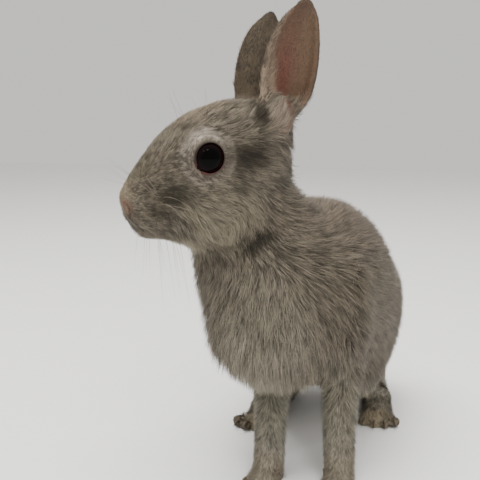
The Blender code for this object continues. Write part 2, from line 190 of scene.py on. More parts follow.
# The groom: where the coat lies which way, how deep it stands and how long its tufts are.
# On the head: place (mm in the head's frame, left side), lie, depth, length, reach of the guide.
headGroom = {
    "noseTip": ((0, -31, -15), (0, 0.45, 0.9), 0.35, 1.4, 3),
    "noseSide": ((5, -29.5, -17), (0.7, 0.7, 0.3), 0.4, 1.6, 3),
    "bridge": ((0, -24, -4), (0, 0.75, 0.65), 0.9, 2.8, 6),
    "bridgeTop": ((0, -14, 8), (0, 0.82, 0.55), 1.2, 3.6, 7),
    "forehead": ((0, -4, 16), (0, 0.92, 0.35), 1.5, 4.6, 8),
    "crown": ((0, 10, 21), (0, 1, 0.05), 1.9, 5.4, 8),
    "betweenEars": ((0, 26, 19), (0, 1, -0.3), 2.6, 7, 8),
    "muzzleSide": ((10, -21, -11), (0.2, 1, 0.12), 1.0, 2.8, 5),
    "whiskerPad": ((11, -22, -20), (0.3, 0.95, -0.12), 1.2, 3.4, 5),
    "lip": ((7, -27, -24), (0.55, 0.75, -0.3), 0.8, 2.2, 4),
    "chin": ((3, -22, -32), (0.1, 0.85, -0.5), 1.5, 4.0, 6),
    "beforeEye": ((14, -11, -4), (0.15, 1, 0.05), 0.9, 2.8, 5),
    "brow": ((15, -2, 9.5), (0.1, 0.95, 0.25), 1.1, 3.6, 5),
    "underEye": ((18, -3, -10), (0.05, 1, -0.2), 1.2, 4.0, 5),
    "behindEye": ((20, 9, 1), (0, 1, -0.1), 1.4, 4.4, 5),
    "cheek": ((20, 5, -19), (0.05, 0.95, -0.35), 2.4, 6.2, 8),
    "temple": ((19, 18, -3), (0.05, 0.95, -0.35), 2.2, 6, 7),
    "jaw": ((14, 4, -34), (0, 0.85, -0.5), 3.0, 6.5, 8),
    "underJaw": ((4, -6, -38), (0, 0.9, -0.4), 2.6, 5.5, 7),
    "earFront": ((14, 20, 14), (0.2, 0.75, 0.6), 1.8, 4.6, 5),
    "earFoot": ((20, 31, 16), (0.05, 0.35, 0.95), 2.0, 6.0, 5),
    "earBack": ((14, 36, 6), (0.15, 0.7, -0.7), 3.4, 8, 6),
}
# On the body: node, place as shares of that node's box, lie, depth, length, reach. Two values of x
# stand for the left and the right side
bodyGroom = {
    "nape": ("neck", (0.78, 0.93, 0.97), (0.1, 0.85, -0.5), 4.4, 9.5, 12),
    "neckLeft": ("neck", (0.95, 0.35, 0.6), (0.05, 0.5, -0.85), 4.8, 10, 12),
    "neckRight": ("neck", (0.1, 0.7, 0.6), (-0.15, 0.6, -0.8), 4.8, 10, 12),
    "throat": ("neck", (0.35, 0.02, 0.5), (0.05, 0.05, -1), 4.4, 9, 10),
    "withers": ("trunk", (0.45, 0.33, 0.98), (0, 1, -0.1), 5.0, 11, 20),
    "back": ("trunk", (0.56, 0.60, 1.0), (0, 1, -0.15), 5.4, 12, 22),
    "loin": ("trunk", (0.57, 0.84, 0.82), (0, 0.8, -0.6), 5.6, 12, 20),
    "rump": ("trunk", (0.57, 0.98, 0.5), (0, 0.3, -1), 5.4, 11, 16),
    "breast": ("trunk", (0.3, 0.0, 0.66), (0, 0, -1), 5.6, 11.5, 14),
    "breastLow": ("trunk", (0.48, 0.08, 0.4), (0, 0.15, -1), 5.2, 11, 14),
    "belly": ("trunk", (0.55, 0.45, 0.14), (0, 1, -0.15), 3.6, 8, 18),
    "groin": ("trunk", (0.56, 0.8, 0.05), (0, 1, 0), 2.8, 6.5, 16),
    "shoulders": ("trunk", ((0.93, 0.03), 0.24, 0.7), (0, 0.4, -0.92), 5.0, 10.5, 14),
    "ribs": ("trunk", ((1.0, 0.0), 0.5, 0.64), (0, 0.85, -0.55), 5.2, 11.5, 18),
    "flanks": ("trunk", ((0.97, 0.1), 0.42, 0.3), (0, 0.7, -0.7), 4.8, 10.5, 14),
    "haunches": ("hind_{}_thigh", ((1.0, 0.0), 0.62, 0.6), (0, 0.5, -0.85), 4.6, 10, 14),
    "knees": ("hind_{}_thigh", ((0.9, 0.1), 0.12, 0.2), (0, 0.1, -1), 3.2, 7, 10),
    "tailTip": ("tail", (0.5, 0.8, 0.9), (0, 0.25, 1), 3.6, 8, 8),
    "tailRoot": ("tail", (0.5, 0.9, 0.2), (0, 0.3, 1), 3.6, 8, 8),
}
# On the limbs: the same, all of the left ones before the right ones
limbGroom = {
    "upperArm": ("fore_{}_upper_arm", ((1.0, 0.0), 0.4, 0.3), (0, 0.2, -1), 3.4, 8, 9),
    "elbow": ("fore_{}_forearm", (0.5, 0.95, 1.0), (0, 0.5, -0.9), 2.8, 6.5, 7),
    "forearm": ("fore_{}_forearm", (0.5, 0.2, 0.6), (0, -0.05, -1), 1.7, 4.4, 7),
    "wrist": ("fore_{}_paw", (0.5, 0.4, 0.95), (0, -0.35, -0.95), 1.2, 3.2, 5),
    "toes": ("fore_{}_paw", (0.5, 0.1, 0.4), (0, -0.85, -0.3), 1.0, 4.2, 4),
    "foot": ("hind_{}_foot", (0.5, 0.3, 0.9), (0, -1, -0.15), 1.5, 3.8, 7),
    "hindToes": ("hind_{}_foot", (0.5, 0.06, 0.4), (0, -0.9, -0.2), 1.3, 5.0, 5),
    "heel": ("hind_{}_foot", (0.5, 0.97, 0.6), (0, -0.1, -1), 1.8, 4.4, 7),
}
# How the guides share a point between them, and the part of the body's lengths that is grown
guideBlend = {"soft": 0.08, "power": 2.5, "pointsAtOnce": 20000, "bodyLength": 0.82}
# On the ears: depth and length on the back, what the front band and the foot add and the edge takes
# away, all in mm, how far the hairs lean, the share of roots inside, and where the edge starts
earGroom = {
    "skinDepth": 0.3, "backDepth": 0.45, "bandDepth": 0.5, "footDepth": 0.9, "edgeDepth": 0.2,
    "backLength": 2.8, "bandLength": 2.4, "footLength": 4.0, "edgeLength": 1.2,
    "lean": 0.08, "bandLean": 0.35, "insideShare": 0.16, "edgeFrom": 0.7,
}


def gatherGuides():
    places, lies, sizes = [], [], []
    for place, lie, depth, length, reach in headGroom.values():
        for side in (1, -1) if place[0] else (1,):
            mirror = np.array((side, 1, 1))
            places.append(fromHead(np.array(place) * mirror))
            lies.append(turnFromHead(unit(np.array(lie, float)) * mirror))
            sizes.append((depth, length, reach))
    guides = [(guide, sides if isinstance(guide[1][0], tuple) else ["left"]) for guide in bodyGroom.values()]
    guides += [(guide, [side]) for side in sides for guide in limbGroom.values()]
    for (node, (x, y, z), lie, depth, length, reach), ownSides in guides:
        for side in ownSides:
            across = x[side == "right"] if isinstance(x, tuple) else x
            places.append(inBox(node.format(side), (across, y, z)))
            lies.append(unit(np.array(lie, float)))
            sizes.append((depth, length * guideBlend["bodyLength"], reach))
    return np.array(places), np.array(lies), np.array(sizes)


guidePlaces, guideLies, guideSizes = gatherGuides()


def groomAt(points):
    # the guides near a point share its lie, depth and length between them
    lies, sizes = [], []
    for block in np.array_split(points, max(1, len(points) // guideBlend["pointsAtOnce"])):
        apart = np.linalg.norm(block[:, None] - guidePlaces[None], axis=2) / mm / guideSizes[None, :, 2]
        weights = 1 / (apart ** 2 + guideBlend["soft"]) ** guideBlend["power"]
        weights /= weights.sum(1, keepdims=True)
        lies.append(weights @ guideLies)
        sizes.append(weights @ guideSizes[:, :2])
    lies, sizes = np.concatenate(lies), np.concatenate(sizes)
    return unit(lies), sizes[:, 0], sizes[:, 1]


# The skin: copies of the flesh nodes fused into one, sunk by the coat's depth, with the face's folds

skinSize = {
    "fillet": 2.6, "filletPasses": 50, "overlap": 0.28, "grain": 0.62, "sinkSteps": 8, "depthBlur": 14,
    "soften": 0.35, "soleHeight": 0.8, "soleDepth": 0.25, "earEdgeRise": 0.1, "mostTriangles": 188000,
}


def fleshShell():
    gathered = bmesh.new()
    labels = []
    for name in fleshNodes:
        piece = bmesh.new()
        piece.from_mesh(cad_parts[name].data)
        bmesh.ops.remove_doubles(piece, verts=piece.verts, dist=0.001 * mm)
        if name.startswith("ear"):
            bmesh.ops.subdivide_edges(piece, edges=piece.edges, cuts=2, smooth=1.0, use_grid_fill=True)
        piece.normal_update()
        for vertex in piece.verts:
            vertex.co += vertex.normal * skinSize["overlap"] * mm
        mesh = bpy.data.meshes.new(name + "_copy")
        piece.to_mesh(mesh)
        piece.free()
        gathered.from_mesh(mesh)
        labels += [name] * len(mesh.polygons)
        bpy.data.meshes.remove(mesh)
    mesh = bpy.data.meshes.new("skin")
    gathered.to_mesh(mesh)
    gathered.free()
    return mesh, surfaceTree(mesh), labels


def nodeOfPoints(points, tree, labels):
    return np.array([labels[tree.find_nearest(point)[2]] for point in points.tolist()])


shell, fleshTree, fleshLabels = fleshShell()
skin = addObject("skin", shell)
applyModifier(skin, "REMESH", {"mode": "VOXEL", "voxel_size": skinSize["grain"] * mm})


def dropIslands(obj):
    # the fused mesh can leave small closed pockets, which are parted from it and removed
    selectOnly(obj)
    bpy.ops.mesh.separate(type="LOOSE")
    pieces = sorted(bpy.context.selected_objects, key=lambda piece: len(piece.data.vertices))
    for piece in pieces[:-1]:
        bpy.data.objects.remove(piece)
    return pieces[-1]


skin = dropIslands(skin)
skin.name = "skin"
print("skin fused:", len(skin.data.vertices), "points")


def blurOverEdges(values, edges, passes, share=0.5):
    counts = np.maximum(np.bincount(edges.ravel(), minlength=len(values)), 1)[:, None]
    shape = values.shape
    values = values.reshape(len(values), -1)
    for _ in range(passes):
        around = np.empty_like(values)
        for i in range(values.shape[1]):
            around[:, i] = np.bincount(edges[:, 0], values[edges[:, 1], i], len(values))
            around[:, i] += np.bincount(edges[:, 1], values[edges[:, 0], i], len(values))
        values = (1 - share) * values + share * around / counts
    return values.reshape(shape)


# Each ear has its own directions: along it from root to tip, and which way its hollow opens

def earForm(side):
    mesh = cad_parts["ear_" + side].data
    points = toHead(pointsOf(mesh))
    heights = np.linspace(points[:, 2].min() + 1, points[:, 2].max() - 0.5, 12)
    fronts, rears = [], []
    for height in heights:
        row = points[np.abs(points[:, 2] - height) < 4]
        fronts.append(row[:, 1].min())
        rears.append(row[:, 1].max())
    return {"heights": heights, "fronts": np.array(fronts), "rears": np.array(rears)}


earForms = {side: earForm(side) for side in sides}
earTurns = {"left": math.radians(17), "right": math.radians(2)}


def earPlace(side, headPlaces):
    # -1 at the ear's front edge and 1 at its rear one, then 0 at its root and 1 at its tip
    form = earForms[side]
    front = np.interp(headPlaces[:, 2], form["heights"], form["fronts"])
    rear = np.interp(headPlaces[:, 2], form["heights"], form["rears"])
    across = 2 * (headPlaces[:, 1] - front) / np.maximum(rear - front, 1) - 1
    up = (headPlaces[:, 2] - form["heights"][0]) / (form["heights"][-1] - form["heights"][0])
    return np.clip(across, -1.2, 1.2), np.clip(up, 0, 1)


def facesIn(side, headNormals):
    turn = earTurns[side]
    opening = np.array((math.cos(turn) * sides[side], -math.sin(turn), 0))
    return headNormals @ opening


def onEars(points):
    # which points belong to an ear: "" elsewhere
    found = np.full(len(points), "", dtype="<U5")
    high = np.flatnonzero(toHead(points)[:, 2] > 8)
    names = nodeOfPoints(points[high], fleshTree, fleshLabels)
    for side in sides:
        found[high[names == "ear_" + side]] = side
    return found


def sinkByCoatDepth():
    mesh = skin.data
    points, edges = pointsOf(mesh), edgesOf(mesh)
    ears = onEars(points)
    depth = groomAt(points)[1]
    for side in sides:
        own = np.flatnonzero(ears == side)
        across, up = earPlace(side, toHead(points[own]))
        edge = np.maximum((np.abs(across) - earGroom["edgeFrom"]) / 0.2, (up - 0.88) / 0.08)
        fall = earGroom["skinDepth"] + skinSize["earEdgeRise"]
        depth[own] = earGroom["skinDepth"] - fall * np.clip(edge, 0, 1)
    depth = np.where(points[:, 2] < skinSize["soleHeight"] * mm, skinSize["soleDepth"], depth)
    depth = blurOverEdges(depth, edges, skinSize["depthBlur"]) + skinSize["overlap"]
    soften = np.where(ears != "", 0.0, skinSize["soften"])[:, None]
    for _ in range(skinSize["sinkSteps"]):
        points -= normalsOf(mesh) * depth[:, None] * mm / skinSize["sinkSteps"]
        points += (blurOverEdges(points, edges, 1, 1.0) - points) * soften
        movePoints(mesh, points)


def filletEars():
    # the skin rises from the head onto each ear in a soft curve
    mesh = skin.data
    points, edges = pointsOf(mesh), edgesOf(mesh)
    ears = onEars(points) != ""
    seam = points[edges[ears[edges[:, 0]] != ears[edges[:, 1]]].ravel()]
    tree = placeTree(seam)
    high = np.flatnonzero(toHead(points)[:, 2] > 2)
    reach = np.zeros(len(points))
    reach[high] = [tree.find(place)[2] for place in points[high].tolist()]
    share = np.zeros((len(points), 1))
    share[high, 0] = np.exp(-(reach[high] / mm / skinSize["fillet"]) ** 2)
    share[share < 0.02] = 0
    local = edges[(share[edges, 0] > 0.02).any(1)]
    for _ in range(skinSize["filletPasses"]):
        points += (blurOverEdges(points, local, 1, 1.0) - points) * share * 0.8
    movePoints(mesh, points)


sinkByCoatDepth()
filletEars()
print("skin sunk by the coat's depth")

# Folds of the face, as grooves along lines in the head's frame: depth and width in mm
faceFolds = {
    "nostril": (
        [(4.6, -28.6, -22.0), (5.0, -28.9, -20.2), (4.4, -29.6, -18.4), (3.2, -30.4, -17.4)], 1.5, 0.75),
    "cleft": ([(0, -31.5, -18.5), (0, -30.5, -21.5), (0, -28.5, -24.5)], 0.8, 0.6),
    "mouth": ([(0, -28.5, -25.0), (4, -26.5, -26.8), (8, -22.0, -27.6), (10.5, -17.0, -27.0)], 1.1, 0.7),
    "tearDuct": ([(18.2, -5.2, -4.2), (17.2, -7.4, -5.6)], 0.7, 0.7),
}


def distanceToLine(places, line, sign=1):
    # from a line in the head's frame, or from its mirror image where the sign is -1
    line = [(x * sign, y, z) for x, y, z in line]
    nearest = np.full(len(places), np.inf)
    for start, end in zip(line, line[1:]):
        start, along = np.array(start, float), np.array(end, float) - np.array(start, float)
        share = np.clip((places - start) @ along / (along @ along), 0, 1)
        nearest = np.minimum(nearest, np.linalg.norm(places - start - share[:, None] * along, axis=1))
    return nearest


def foldTheFace():
    points = pointsOf(skin.data)
    places = toHead(points)
    face = np.flatnonzero((places[:, 1] < 0) & (places[:, 2] > -45) & (np.abs(places[:, 0]) < 24))
    sunk = np.zeros(len(face))
    for line, depth, width in faceFolds.values():
        for side in sides.values():
            apart = distanceToLine(places[face], line, side) / width
            sunk = np.maximum(sunk, depth * np.exp(-apart ** 2))
    points[face] -= normalsOf(skin.data)[face] * sunk[:, None] * mm
    movePoints(skin.data, points)


# The lids: a thin shell round the eyeball, from the opening out under the skin, drawn out at the tear
# duct. Lengths in mm, turns in degrees; upper: how much thicker the lid is above, and where, in radians
lidSize = {
    "opening": 5.5, "outerTurn": 80, "gap": 0.22, "thickness": 0.62, "upper": (0.5, 1.5, 0.9),
    "ductAngle": 222, "duct": 1.3, "ductWidth": 0.2, "wider": 0.25, "segments": (96, 22),
    "tuckTurn": 78, "tuckFade": 14, "tuckDepth": 0.4,
}


def lidRise(turn):
    # how far the lid's outer face stands off the eyeball, in mm; the upper lid is the thicker one
    more, middle, width = lidSize["upper"]
    return lidSize["gap"] + lidSize["thickness"] * (1 + more * np.exp(-((turn - middle) / width) ** 2))


def tuckUnderLids():
    # the skin dives under the eyeball inside the lids, so that only they border the eye
    points = pointsOf(skin.data)
    places = toHead(points)
    for sign in sides.values():
        offset = places - np.array((sign * eyeApart, 0, 0))
        radius = np.linalg.norm(offset, axis=1)
        near = np.flatnonzero((radius < eyeRadius + 4) & (offset[:, 0] * sign > 0))
        polar = np.degrees(np.arccos(np.clip(offset[near, 0] * sign / radius[near], -1, 1)))
        inside = np.clip((lidSize["tuckTurn"] - polar) / lidSize["tuckFade"], 0, 1)
        depth = np.maximum(radius[near] - (eyeRadius - lidSize["tuckDepth"]), 0) * inside
        points[near] = fromHead(places[near] - offset[near] / radius[near, None] * depth[:, None])
    movePoints(skin.data, points)


def lidShell(side):
    sign = sides[side]
    bpy.ops.object.select_all(action="DESELECT")
    bpy.ops.mesh.primitive_torus_add(
        major_radius=1, minor_radius=0.5,
        major_segments=lidSize["segments"][0], minor_segments=lidSize["segments"][1])
    lid = bpy.context.object
    lid.name = "lid_" + side
    torus = pointsOf(lid.data)
    turn = np.arctan2(torus[:, 1], torus[:, 0])
    section = np.arctan2(torus[:, 2], np.hypot(torus[:, 0], torus[:, 1]) - 1)
    fromDuct = np.angle(np.exp(1j * (turn - math.radians(lidSize["ductAngle"]))))
    drawnOut = lidSize["duct"] * np.exp(-(fromDuct / lidSize["ductWidth"]) ** 2)
    opening = lidSize["opening"] + drawnOut + lidSize["wider"] * np.cos(turn)
    nearest = np.arcsin(opening / (eyeRadius + lidSize["gap"]))
    farthest = math.radians(lidSize["outerTurn"])
    polar = nearest + (farthest - nearest) * (0.5 + 0.5 * np.cos(section))
    radius = eyeRadius + lidSize["gap"] + (lidRise(turn) - lidSize["gap"]) * (0.5 + 0.5 * np.sin(section))
    # a turn of 0 points to the back of the head and a quarter turn up
    places = np.stack([
        sign * (eyeApart + radius * np.cos(polar)),
        radius * np.sin(polar) * np.cos(turn),
        radius * np.sin(polar) * np.sin(turn)], axis=1)
    movePoints(lid.data, fromHead(places))
    if sign > 0:
        lid.data.flip_normals()
    return lid


foldTheFace()
tuckUnderLids()
applyModifier(skin, "DECIMATE", {"ratio": skinSize["mostTriangles"] / triangles(skin)})
lids = [lidShell(side) for side in sides]
selectOnly(skin, *lids)
bpy.ops.object.join()
skin.data.shade_smooth()
print("skin finished:", triangles(skin), "triangles")


# Tones as they look on a screen, 0 to 255
tones = {
    "agouti": (113, 104, 90), "dark": (36, 32, 25), "ringWhite": (176, 165, 151), "cream": (140, 132, 112),
    "belly": (136, 130, 115), "breast": (136, 129, 113), "brown": (102, 89, 77), "crown": (124, 111, 93),
    "behindEye": (48, 43, 33), "whiskerPad": (68, 63, 50), "bridge": (104, 96, 80),
    # the tone for the crease under the jaw is painted shade
    "noseTip": (144, 130, 108), "crease": (44, 39, 31), "leg": (133, 128, 112), "paw": (146, 136, 119),
    "hindFoot": (156, 149, 132),
    "toes": (162, 148, 122), "earBack": (74, 64, 51), "earFoot": (136, 121, 107), "earTan": (90, 72, 56),
    "earEdge": (134, 117, 100), "earHollow": (82, 60, 46), "earPink": (96, 62, 50), "earRed": (90, 50, 42),
    "earRim": (48, 40, 33), "nostrilPink": (120, 76, 64), "lidBrown": (26, 17, 14), "lidRed": (84, 42, 38),
    "lidHair": (98, 88, 75), "deepRed": (34, 12, 10), "tailWhite": (180, 174, 162),
}


def linear(tone):
    share = np.array(tone, float) / 255
    return np.where(share < 0.04045, share / 12.92, ((share + 0.055) / 1.055) ** 2.4)


tones = {name: linear(tone) for name, tone in tones.items()}

# Markings of the coat: frame or node, middle (mm in the head's frame, or shares of the node's box),
# radii in mm, tone, share of dark tufts, strength. Those with a place to one side are mirrored.
markings = [
    ("trunk", (0.6, 0.62, 0.95), (46, 62, 34), "brown", 0.38, 0.75),
    ("trunk", (0.75, 0.95, 0.5), (46, 34, 44), "brown", 0.34, 0.7),
    ("trunk", (0.42, 0.0, 0.5), (30, 24, 36), "breast", 0.26, 0.8),
    ("trunk", (0.42, 0.1, 0.22), (26, 24, 15), "belly", 0.12, 0.8),
    ("trunk", (0.5, 0.3, 0.10), (34, 60, 14), "tailWhite", 0.04, 0.9),
    ("trunk", (0.56, 0.75, 0.06), (34, 40, 12), "tailWhite", 0.05, 0.9),
    ("neck", (0.3, 0.0, 0.6), (17, 14, 14), "cream", 0.14, 0.9),
    ("head", (0, -2, 19), (9, 18, 8), "crown", 0.2, 0.85),
    ("head", (0, -22, -4), (9, 10, 12), "bridge", 0.42, 0.7),
    ("head", (0, -30, -15), (6.5, 4.5, 7.5), "noseTip", 0.04, 0.95),
    ("head", (15.5, -15, -3), (6, 9, 7), "agouti", 0.5, 0.7),
    ("head", (14.5, -12.5, -14.5), (6, 8, 5), "whiskerPad", 0.58, 0.95),
    ("head", (12, -18, -21), (5, 5, 4), "whiskerPad", 0.5, 0.6),
    ("head", (20.3, 16.5, 0.6), (7, 9.5, 6.5), "behindEye", 0.66, 1.0),
    ("head", (20.5, 15.0, -13.0), (4, 3.5, 2.5), "behindEye", 0.7, 0.7),
    ("head", (20, 18, 9), (6, 7, 6), "agouti", 0.55, 0.7),
    ("head", (21, 6, -19), (9, 12, 8), "agouti", 0.2, 0.6),
    ("head", (0, -10, -38), (15, 19, 6), "cream", 0.05, 1.0),
    ("head", (9, 25, 22), (4, 5, 7), "behindEye", 0.7, 0.8),
    ("head", (16.5, 22.6, 18), (5, 2.8, 8), "behindEye", 0.8, 0.9),
    ("head", (19, 31.5, 15.5), (7, 6, 9), "earFoot", 0.08, 0.95),
    ("head", (16.5, 35, 21), (6, 2.6, 5), "earPink", 0.04, 0.75),
    ("tail", (0.5, 1.0, 0.5), (12, 7, 24), "tailWhite", 0.05, 0.9),
]
for side in sides:
    markings += [
        (f"fore_{side}_forearm", (0.5, 0.3, 0.8), (13, 15, 24), "leg", 0.24, 0.9),
        (f"fore_{side}_paw", (0.5, 0.3, 0.4), (13, 18, 10), "paw", 0.08, 1.0),
        (f"hind_{side}_foot", (0.5, 0.3, 0.6), (15, 34, 11), "hindFoot", 0.2, 0.9),
        (f"hind_{side}_foot", (0.5, 0.05, 0.3), (15, 9, 8), "toes", 0.06, 0.9),
    ]
# The pale ring round each eye: its reach from the eye's axis and width in mm, and its strength at the
# back, top, front and bottom
eyeRing = {"reach": (8.6, 9.9, 8.3, 9.0), "width": 1.9, "strength": (0.15, 1.0, 0.5, 0.4)}
# The short hairs on the lids, and elsewhere the share of dark tufts and how sharply a marking ends
lidHair = {"strength": 0.8, "reach": 7.4, "fade": 0.35}
coatTone = {"dark": 0.39, "markingEdge": 0.85, "markingFade": 7}
# Painted shade in the crease under the jaw, where the cheek stands over the neck: places in the head's
# frame, reach in mm, share of dark tufts
creaseShadows = [([(19.2, 15.8, -37.4), (18.6, 19.9, -34.0), (19.4, 25.1, -32.0)], 2.0, 0.95)]


def blend(colours, tone, share):
    return colours + (tones[tone] - colours) * share[:, None]


def paintAt(points):
    # the tone of the light hairs and the share of dark tufts
    light = np.tile(tones["agouti"], (len(points), 1))
    dark = np.full(len(points), coatTone["dark"])
    inHead = toHead(points)
    for where, middle, radii, tone, share, strength in markings:
        if where == "head":
            signs = (1, -1) if middle[0] else (1,)
            apart = [(inHead - np.array(middle) * (sign, 1, 1)) / radii for sign in signs]
        else:
            apart = [(points - inBox(where, middle)) / mm / radii]
        for offset in apart:
            reach = np.linalg.norm(offset, axis=1)
            mask = strength * softStep(coatTone["markingFade"] * (coatTone["markingEdge"] - reach))
            light = blend(light, tone, mask)
            dark += (share - dark) * mask
    toAxis, outward = eyePlace(points)
    quarter = (np.arctan2(inHead[:, 2], inHead[:, 1]) / (math.pi / 2)) % 4
    rounds = [(*eyeRing[key], eyeRing[key][0]) for key in ("reach", "strength")]
    reach, strength = (np.interp(quarter, range(5), values) for values in rounds)
    ring = strength * np.exp(-np.abs((toAxis - reach) / eyeRing["width"]) ** 2.5) * (outward > 0)
    light = blend(light, "ringWhite", ring)
    dark *= 1 - ring
    onLid = lidHair["strength"] * softStep((lidHair["reach"] - toAxis) / lidHair["fade"]) * (outward > 0)
    light = blend(light, "lidHair", onLid)
    # painted shade in the crease under the jaw: a darker tone, and most tufts there are dark
    for line, width, share in creaseShadows:
        for sign in sides.values():
            apart = distanceToLine(inHead, line, sign) / width
            mask = np.exp(-apart ** 2)
            light = blend(light, "crease", mask)
            dark += (share - dark) * mask
    return light, dark


def eyePlace(points):
    # distance from the nearer eye's axis, and how far out along it, in mm
    places = toHead(points)
    return np.hypot(places[:, 1], places[:, 2]), np.abs(places[:, 0]) - eyeApart


# The ears' markings, with places as earPlace gives them: the band along the front edge, how far it
# reaches across at each height, the red patch, the tan rear half and the dark rim
earPaint = {
    "bandUp": (0, 0.12, 0.27, 0.39, 0.63, 0.82, 1.0), "bandReach": (1.3, 1.15, 0.95, 0.68, 0.36, 0.2, 0.06),
    "bandFade": 0.07, "redPlace": (-0.08, 0.38), "redReach": (0.27, 0.22), "red": 0.85,
    "tanFrom": 0.3, "tan": 0.8, "rimFrom": 0.92, "rim": 0.8, "backDark": 0.5, "insideDark": 0.06,
}


def earBand(across, up):
    # the folded front edge, which is broad at the ear's root and runs out at its tip
    reach = np.interp(up, earPaint["bandUp"], earPaint["bandReach"])
    return softStep(-(across + 1 - reach) / earPaint["bandFade"])


def earInside(side, normals):
    return softStep(12 * (facesIn(side, normals @ headAxes.T) - 0.1))


def earFoot(across, up, top, least):
    # the haired foot of the ear, weakest along its middle
    return np.clip((top - up) / 0.2, 0, 1) * np.clip(np.abs(across - 0.2) / 0.35, least, 1)


def paintEars(points, normals, ears, light, dark):
    headPlaces = toHead(points)
    for side in sides:
        own = np.flatnonzero(ears == side)
        across, up = earPlace(side, headPlaces[own])
        inside = earInside(side, normals[own])
        (redAcross, redUp), (acrossReach, upReach) = earPaint["redPlace"], earPaint["redReach"]
        red = np.exp(-((across - redAcross) / acrossReach) ** 2 - ((up - redUp) / upReach) ** 2)
        band = earBand(across, up)
        edge = np.where(up > 0.5, np.abs(across), across)
        rim = softStep(30 * (np.maximum(edge, up * 0.95) - earPaint["rimFrom"]))
        hollow = blend(tones["earPink"], "earHollow", np.clip(up * 1.2, 0, 1))
        hollow = blend(hollow, "earTan", earPaint["tan"] * softStep(9 * (across - earPaint["tanFrom"])))
        hollow = blend(hollow, "earRed", earPaint["red"] * red)
        hollow = blend(hollow, "earEdge", np.maximum(band, earFoot(across, up, 0.3, 0.2)))
        light[own] = blend(hollow, "earBack", 1 - inside)
        light[own] = blend(light[own], "earRim", rim * earPaint["rim"])
        dark[own] = earPaint["backDark"] * (1 - inside) + 0.2 * rim
        dark[own] += (earPaint["insideDark"] + 0.1 * band) * inside


# Tones painted along the folds of the face, pink and dark red at the nostrils and dark red at the cleft and
# the mouth: fold, tone, strength, width in mm
foldTones = [
    ("nostril", "nostrilPink", 1, 1.5), ("nostril", "deepRed", 1, 0.8),
    ("cleft", "lidRed", 0.6, 0.6), ("mouth", "lidRed", 0.6, 0.6),
]


def paintSkin():
    points, normals = pointsOf(skin.data), normalsOf(skin.data)
    light, dark = paintAt(points)
    ears = onEars(points)
    # the skin under the tufts is painted darker: the grey undercoat, and painted shade for the depth between
    # the tufts
    colours = light * 0.5 + tones["dark"] * 0.2
    paintEars(points, normals, ears, light, dark)
    colours[ears != ""] = light[ears != ""]
    places = toHead(points)
    for sign in sides.values():
        for fold, tone, share, width in foldTones:
            apart = distanceToLine(places, faceFolds[fold][0], sign)
            colours = blend(colours, tone, share * np.exp(-(apart / width) ** 2))
    toAxis, outward = eyePlace(points)
    nearEye = (toAxis < 9) & (outward > 0)
    angle = np.degrees(np.arctan2(places[:, 2], places[:, 1]))
    fromDuct = np.abs((angle - lidSize["ductAngle"] + 180) % 360 - 180)
    reach = lidSize["opening"] + 0.9 + 2.0 * np.exp(-(fromDuct / 22) ** 2)
    margin = np.clip((reach - toAxis) / 0.5, 0, 1) * nearEye
    colours = blend(colours, "lidBrown", margin)
    colours = blend(colours, "lidRed", 0.6 * margin * softStep(-(places[:, 2] + 2.0) / 0.7))
    writeColours(skin.data, "coatColour", np.clip(colours, 0, 1))


paintSkin()

# Materials. The skin's and the coat's read the tone that was painted on the mesh and add the finish of their
# own surface; the others are grain between two tones

def newMaterial(name, finish):
    material = bpy.data.materials.new(name)
    material.use_nodes = True
    shader = material.node_tree.nodes["Principled BSDF"]
    for setting, value in finish.items():
        shader.inputs[setting].default_value = value
    return material, material.node_tree, shader


def addNode(tree, kind, settings):
    # a value that is another node's socket is linked, and any other is set
    node = tree.nodes.new(kind)
    for name, value in settings.items():
        if isinstance(name, str) and hasattr(node, name):
            setattr(node, name, value)
        elif isinstance(value, bpy.types.NodeSocket):
            tree.links.new(value, node.inputs[name])
        else:
            node.inputs[name].default_value = value
    return node


def mixColours(tree, blending, factor, first, second):
    settings = {"data_type": "RGBA", "blend_type": blending, 0: factor, 6: first, 7: second}
    return addNode(tree, "ShaderNodeMix", settings).outputs[2]


def rampBetween(tree, factor, stops):
    ramp = addNode(tree, "ShaderNodeValToRGB", {0: factor})
    elements = ramp.color_ramp.elements
    elements.remove(elements[1])
    elements[0].position = stops[0][0]
    for i, (position, colour) in enumerate(stops):
        element = elements.new(position) if i else elements[0]
        element.color = (*colour, 1) if hasattr(colour, "__len__") else (colour, colour, colour, 1)
    return ramp.outputs[0]


def painted(tree, name, output):
    return addNode(tree, "ShaderNodeAttribute", {"attribute_name": name}).outputs[output]


def grainOf(tree, scale, detail):
    place = tree.nodes.new("ShaderNodeTexCoord").outputs["Object"]
    settings = {"Vector": place, "Scale": scale, "Detail": detail}
    return addNode(tree, "ShaderNodeTexNoise", settings).outputs["Fac"]


def grainyMaterial(name, scale, detail, darker, lighter, roughness):
    material, tree, shader = newMaterial(name, {"Roughness": roughness})
    tone = rampBetween(tree, grainOf(tree, scale, detail), [(0.3, darker), (0.7, lighter)])
    tree.links.new(tone, shader.inputs["Base Color"])
    return material


def setMaterial(obj, material):
    obj.data.materials.clear()
    obj.data.materials.append(material)


def skinMaterial():
    material, tree, shader = newMaterial("shortCoatedSkin", {"Roughness": 0.62, "Specular IOR Level": 0.3})
    fine = grainOf(tree, 1900.0, 3.0)
    speckle = rampBetween(tree, fine, [(0.3, 0.72), (0.7, 1.22)])
    colour = mixColours(tree, "MULTIPLY", 1.0, painted(tree, "coatColour", "Color"), speckle)
    bump = addNode(tree, "ShaderNodeBump", {"Strength": 0.35, "Distance": 0.0003, "Height": fine})
    tree.links.new(colour, shader.inputs["Base Color"])
    tree.links.new(bump.outputs["Normal"], shader.inputs["Normal"])
    return material


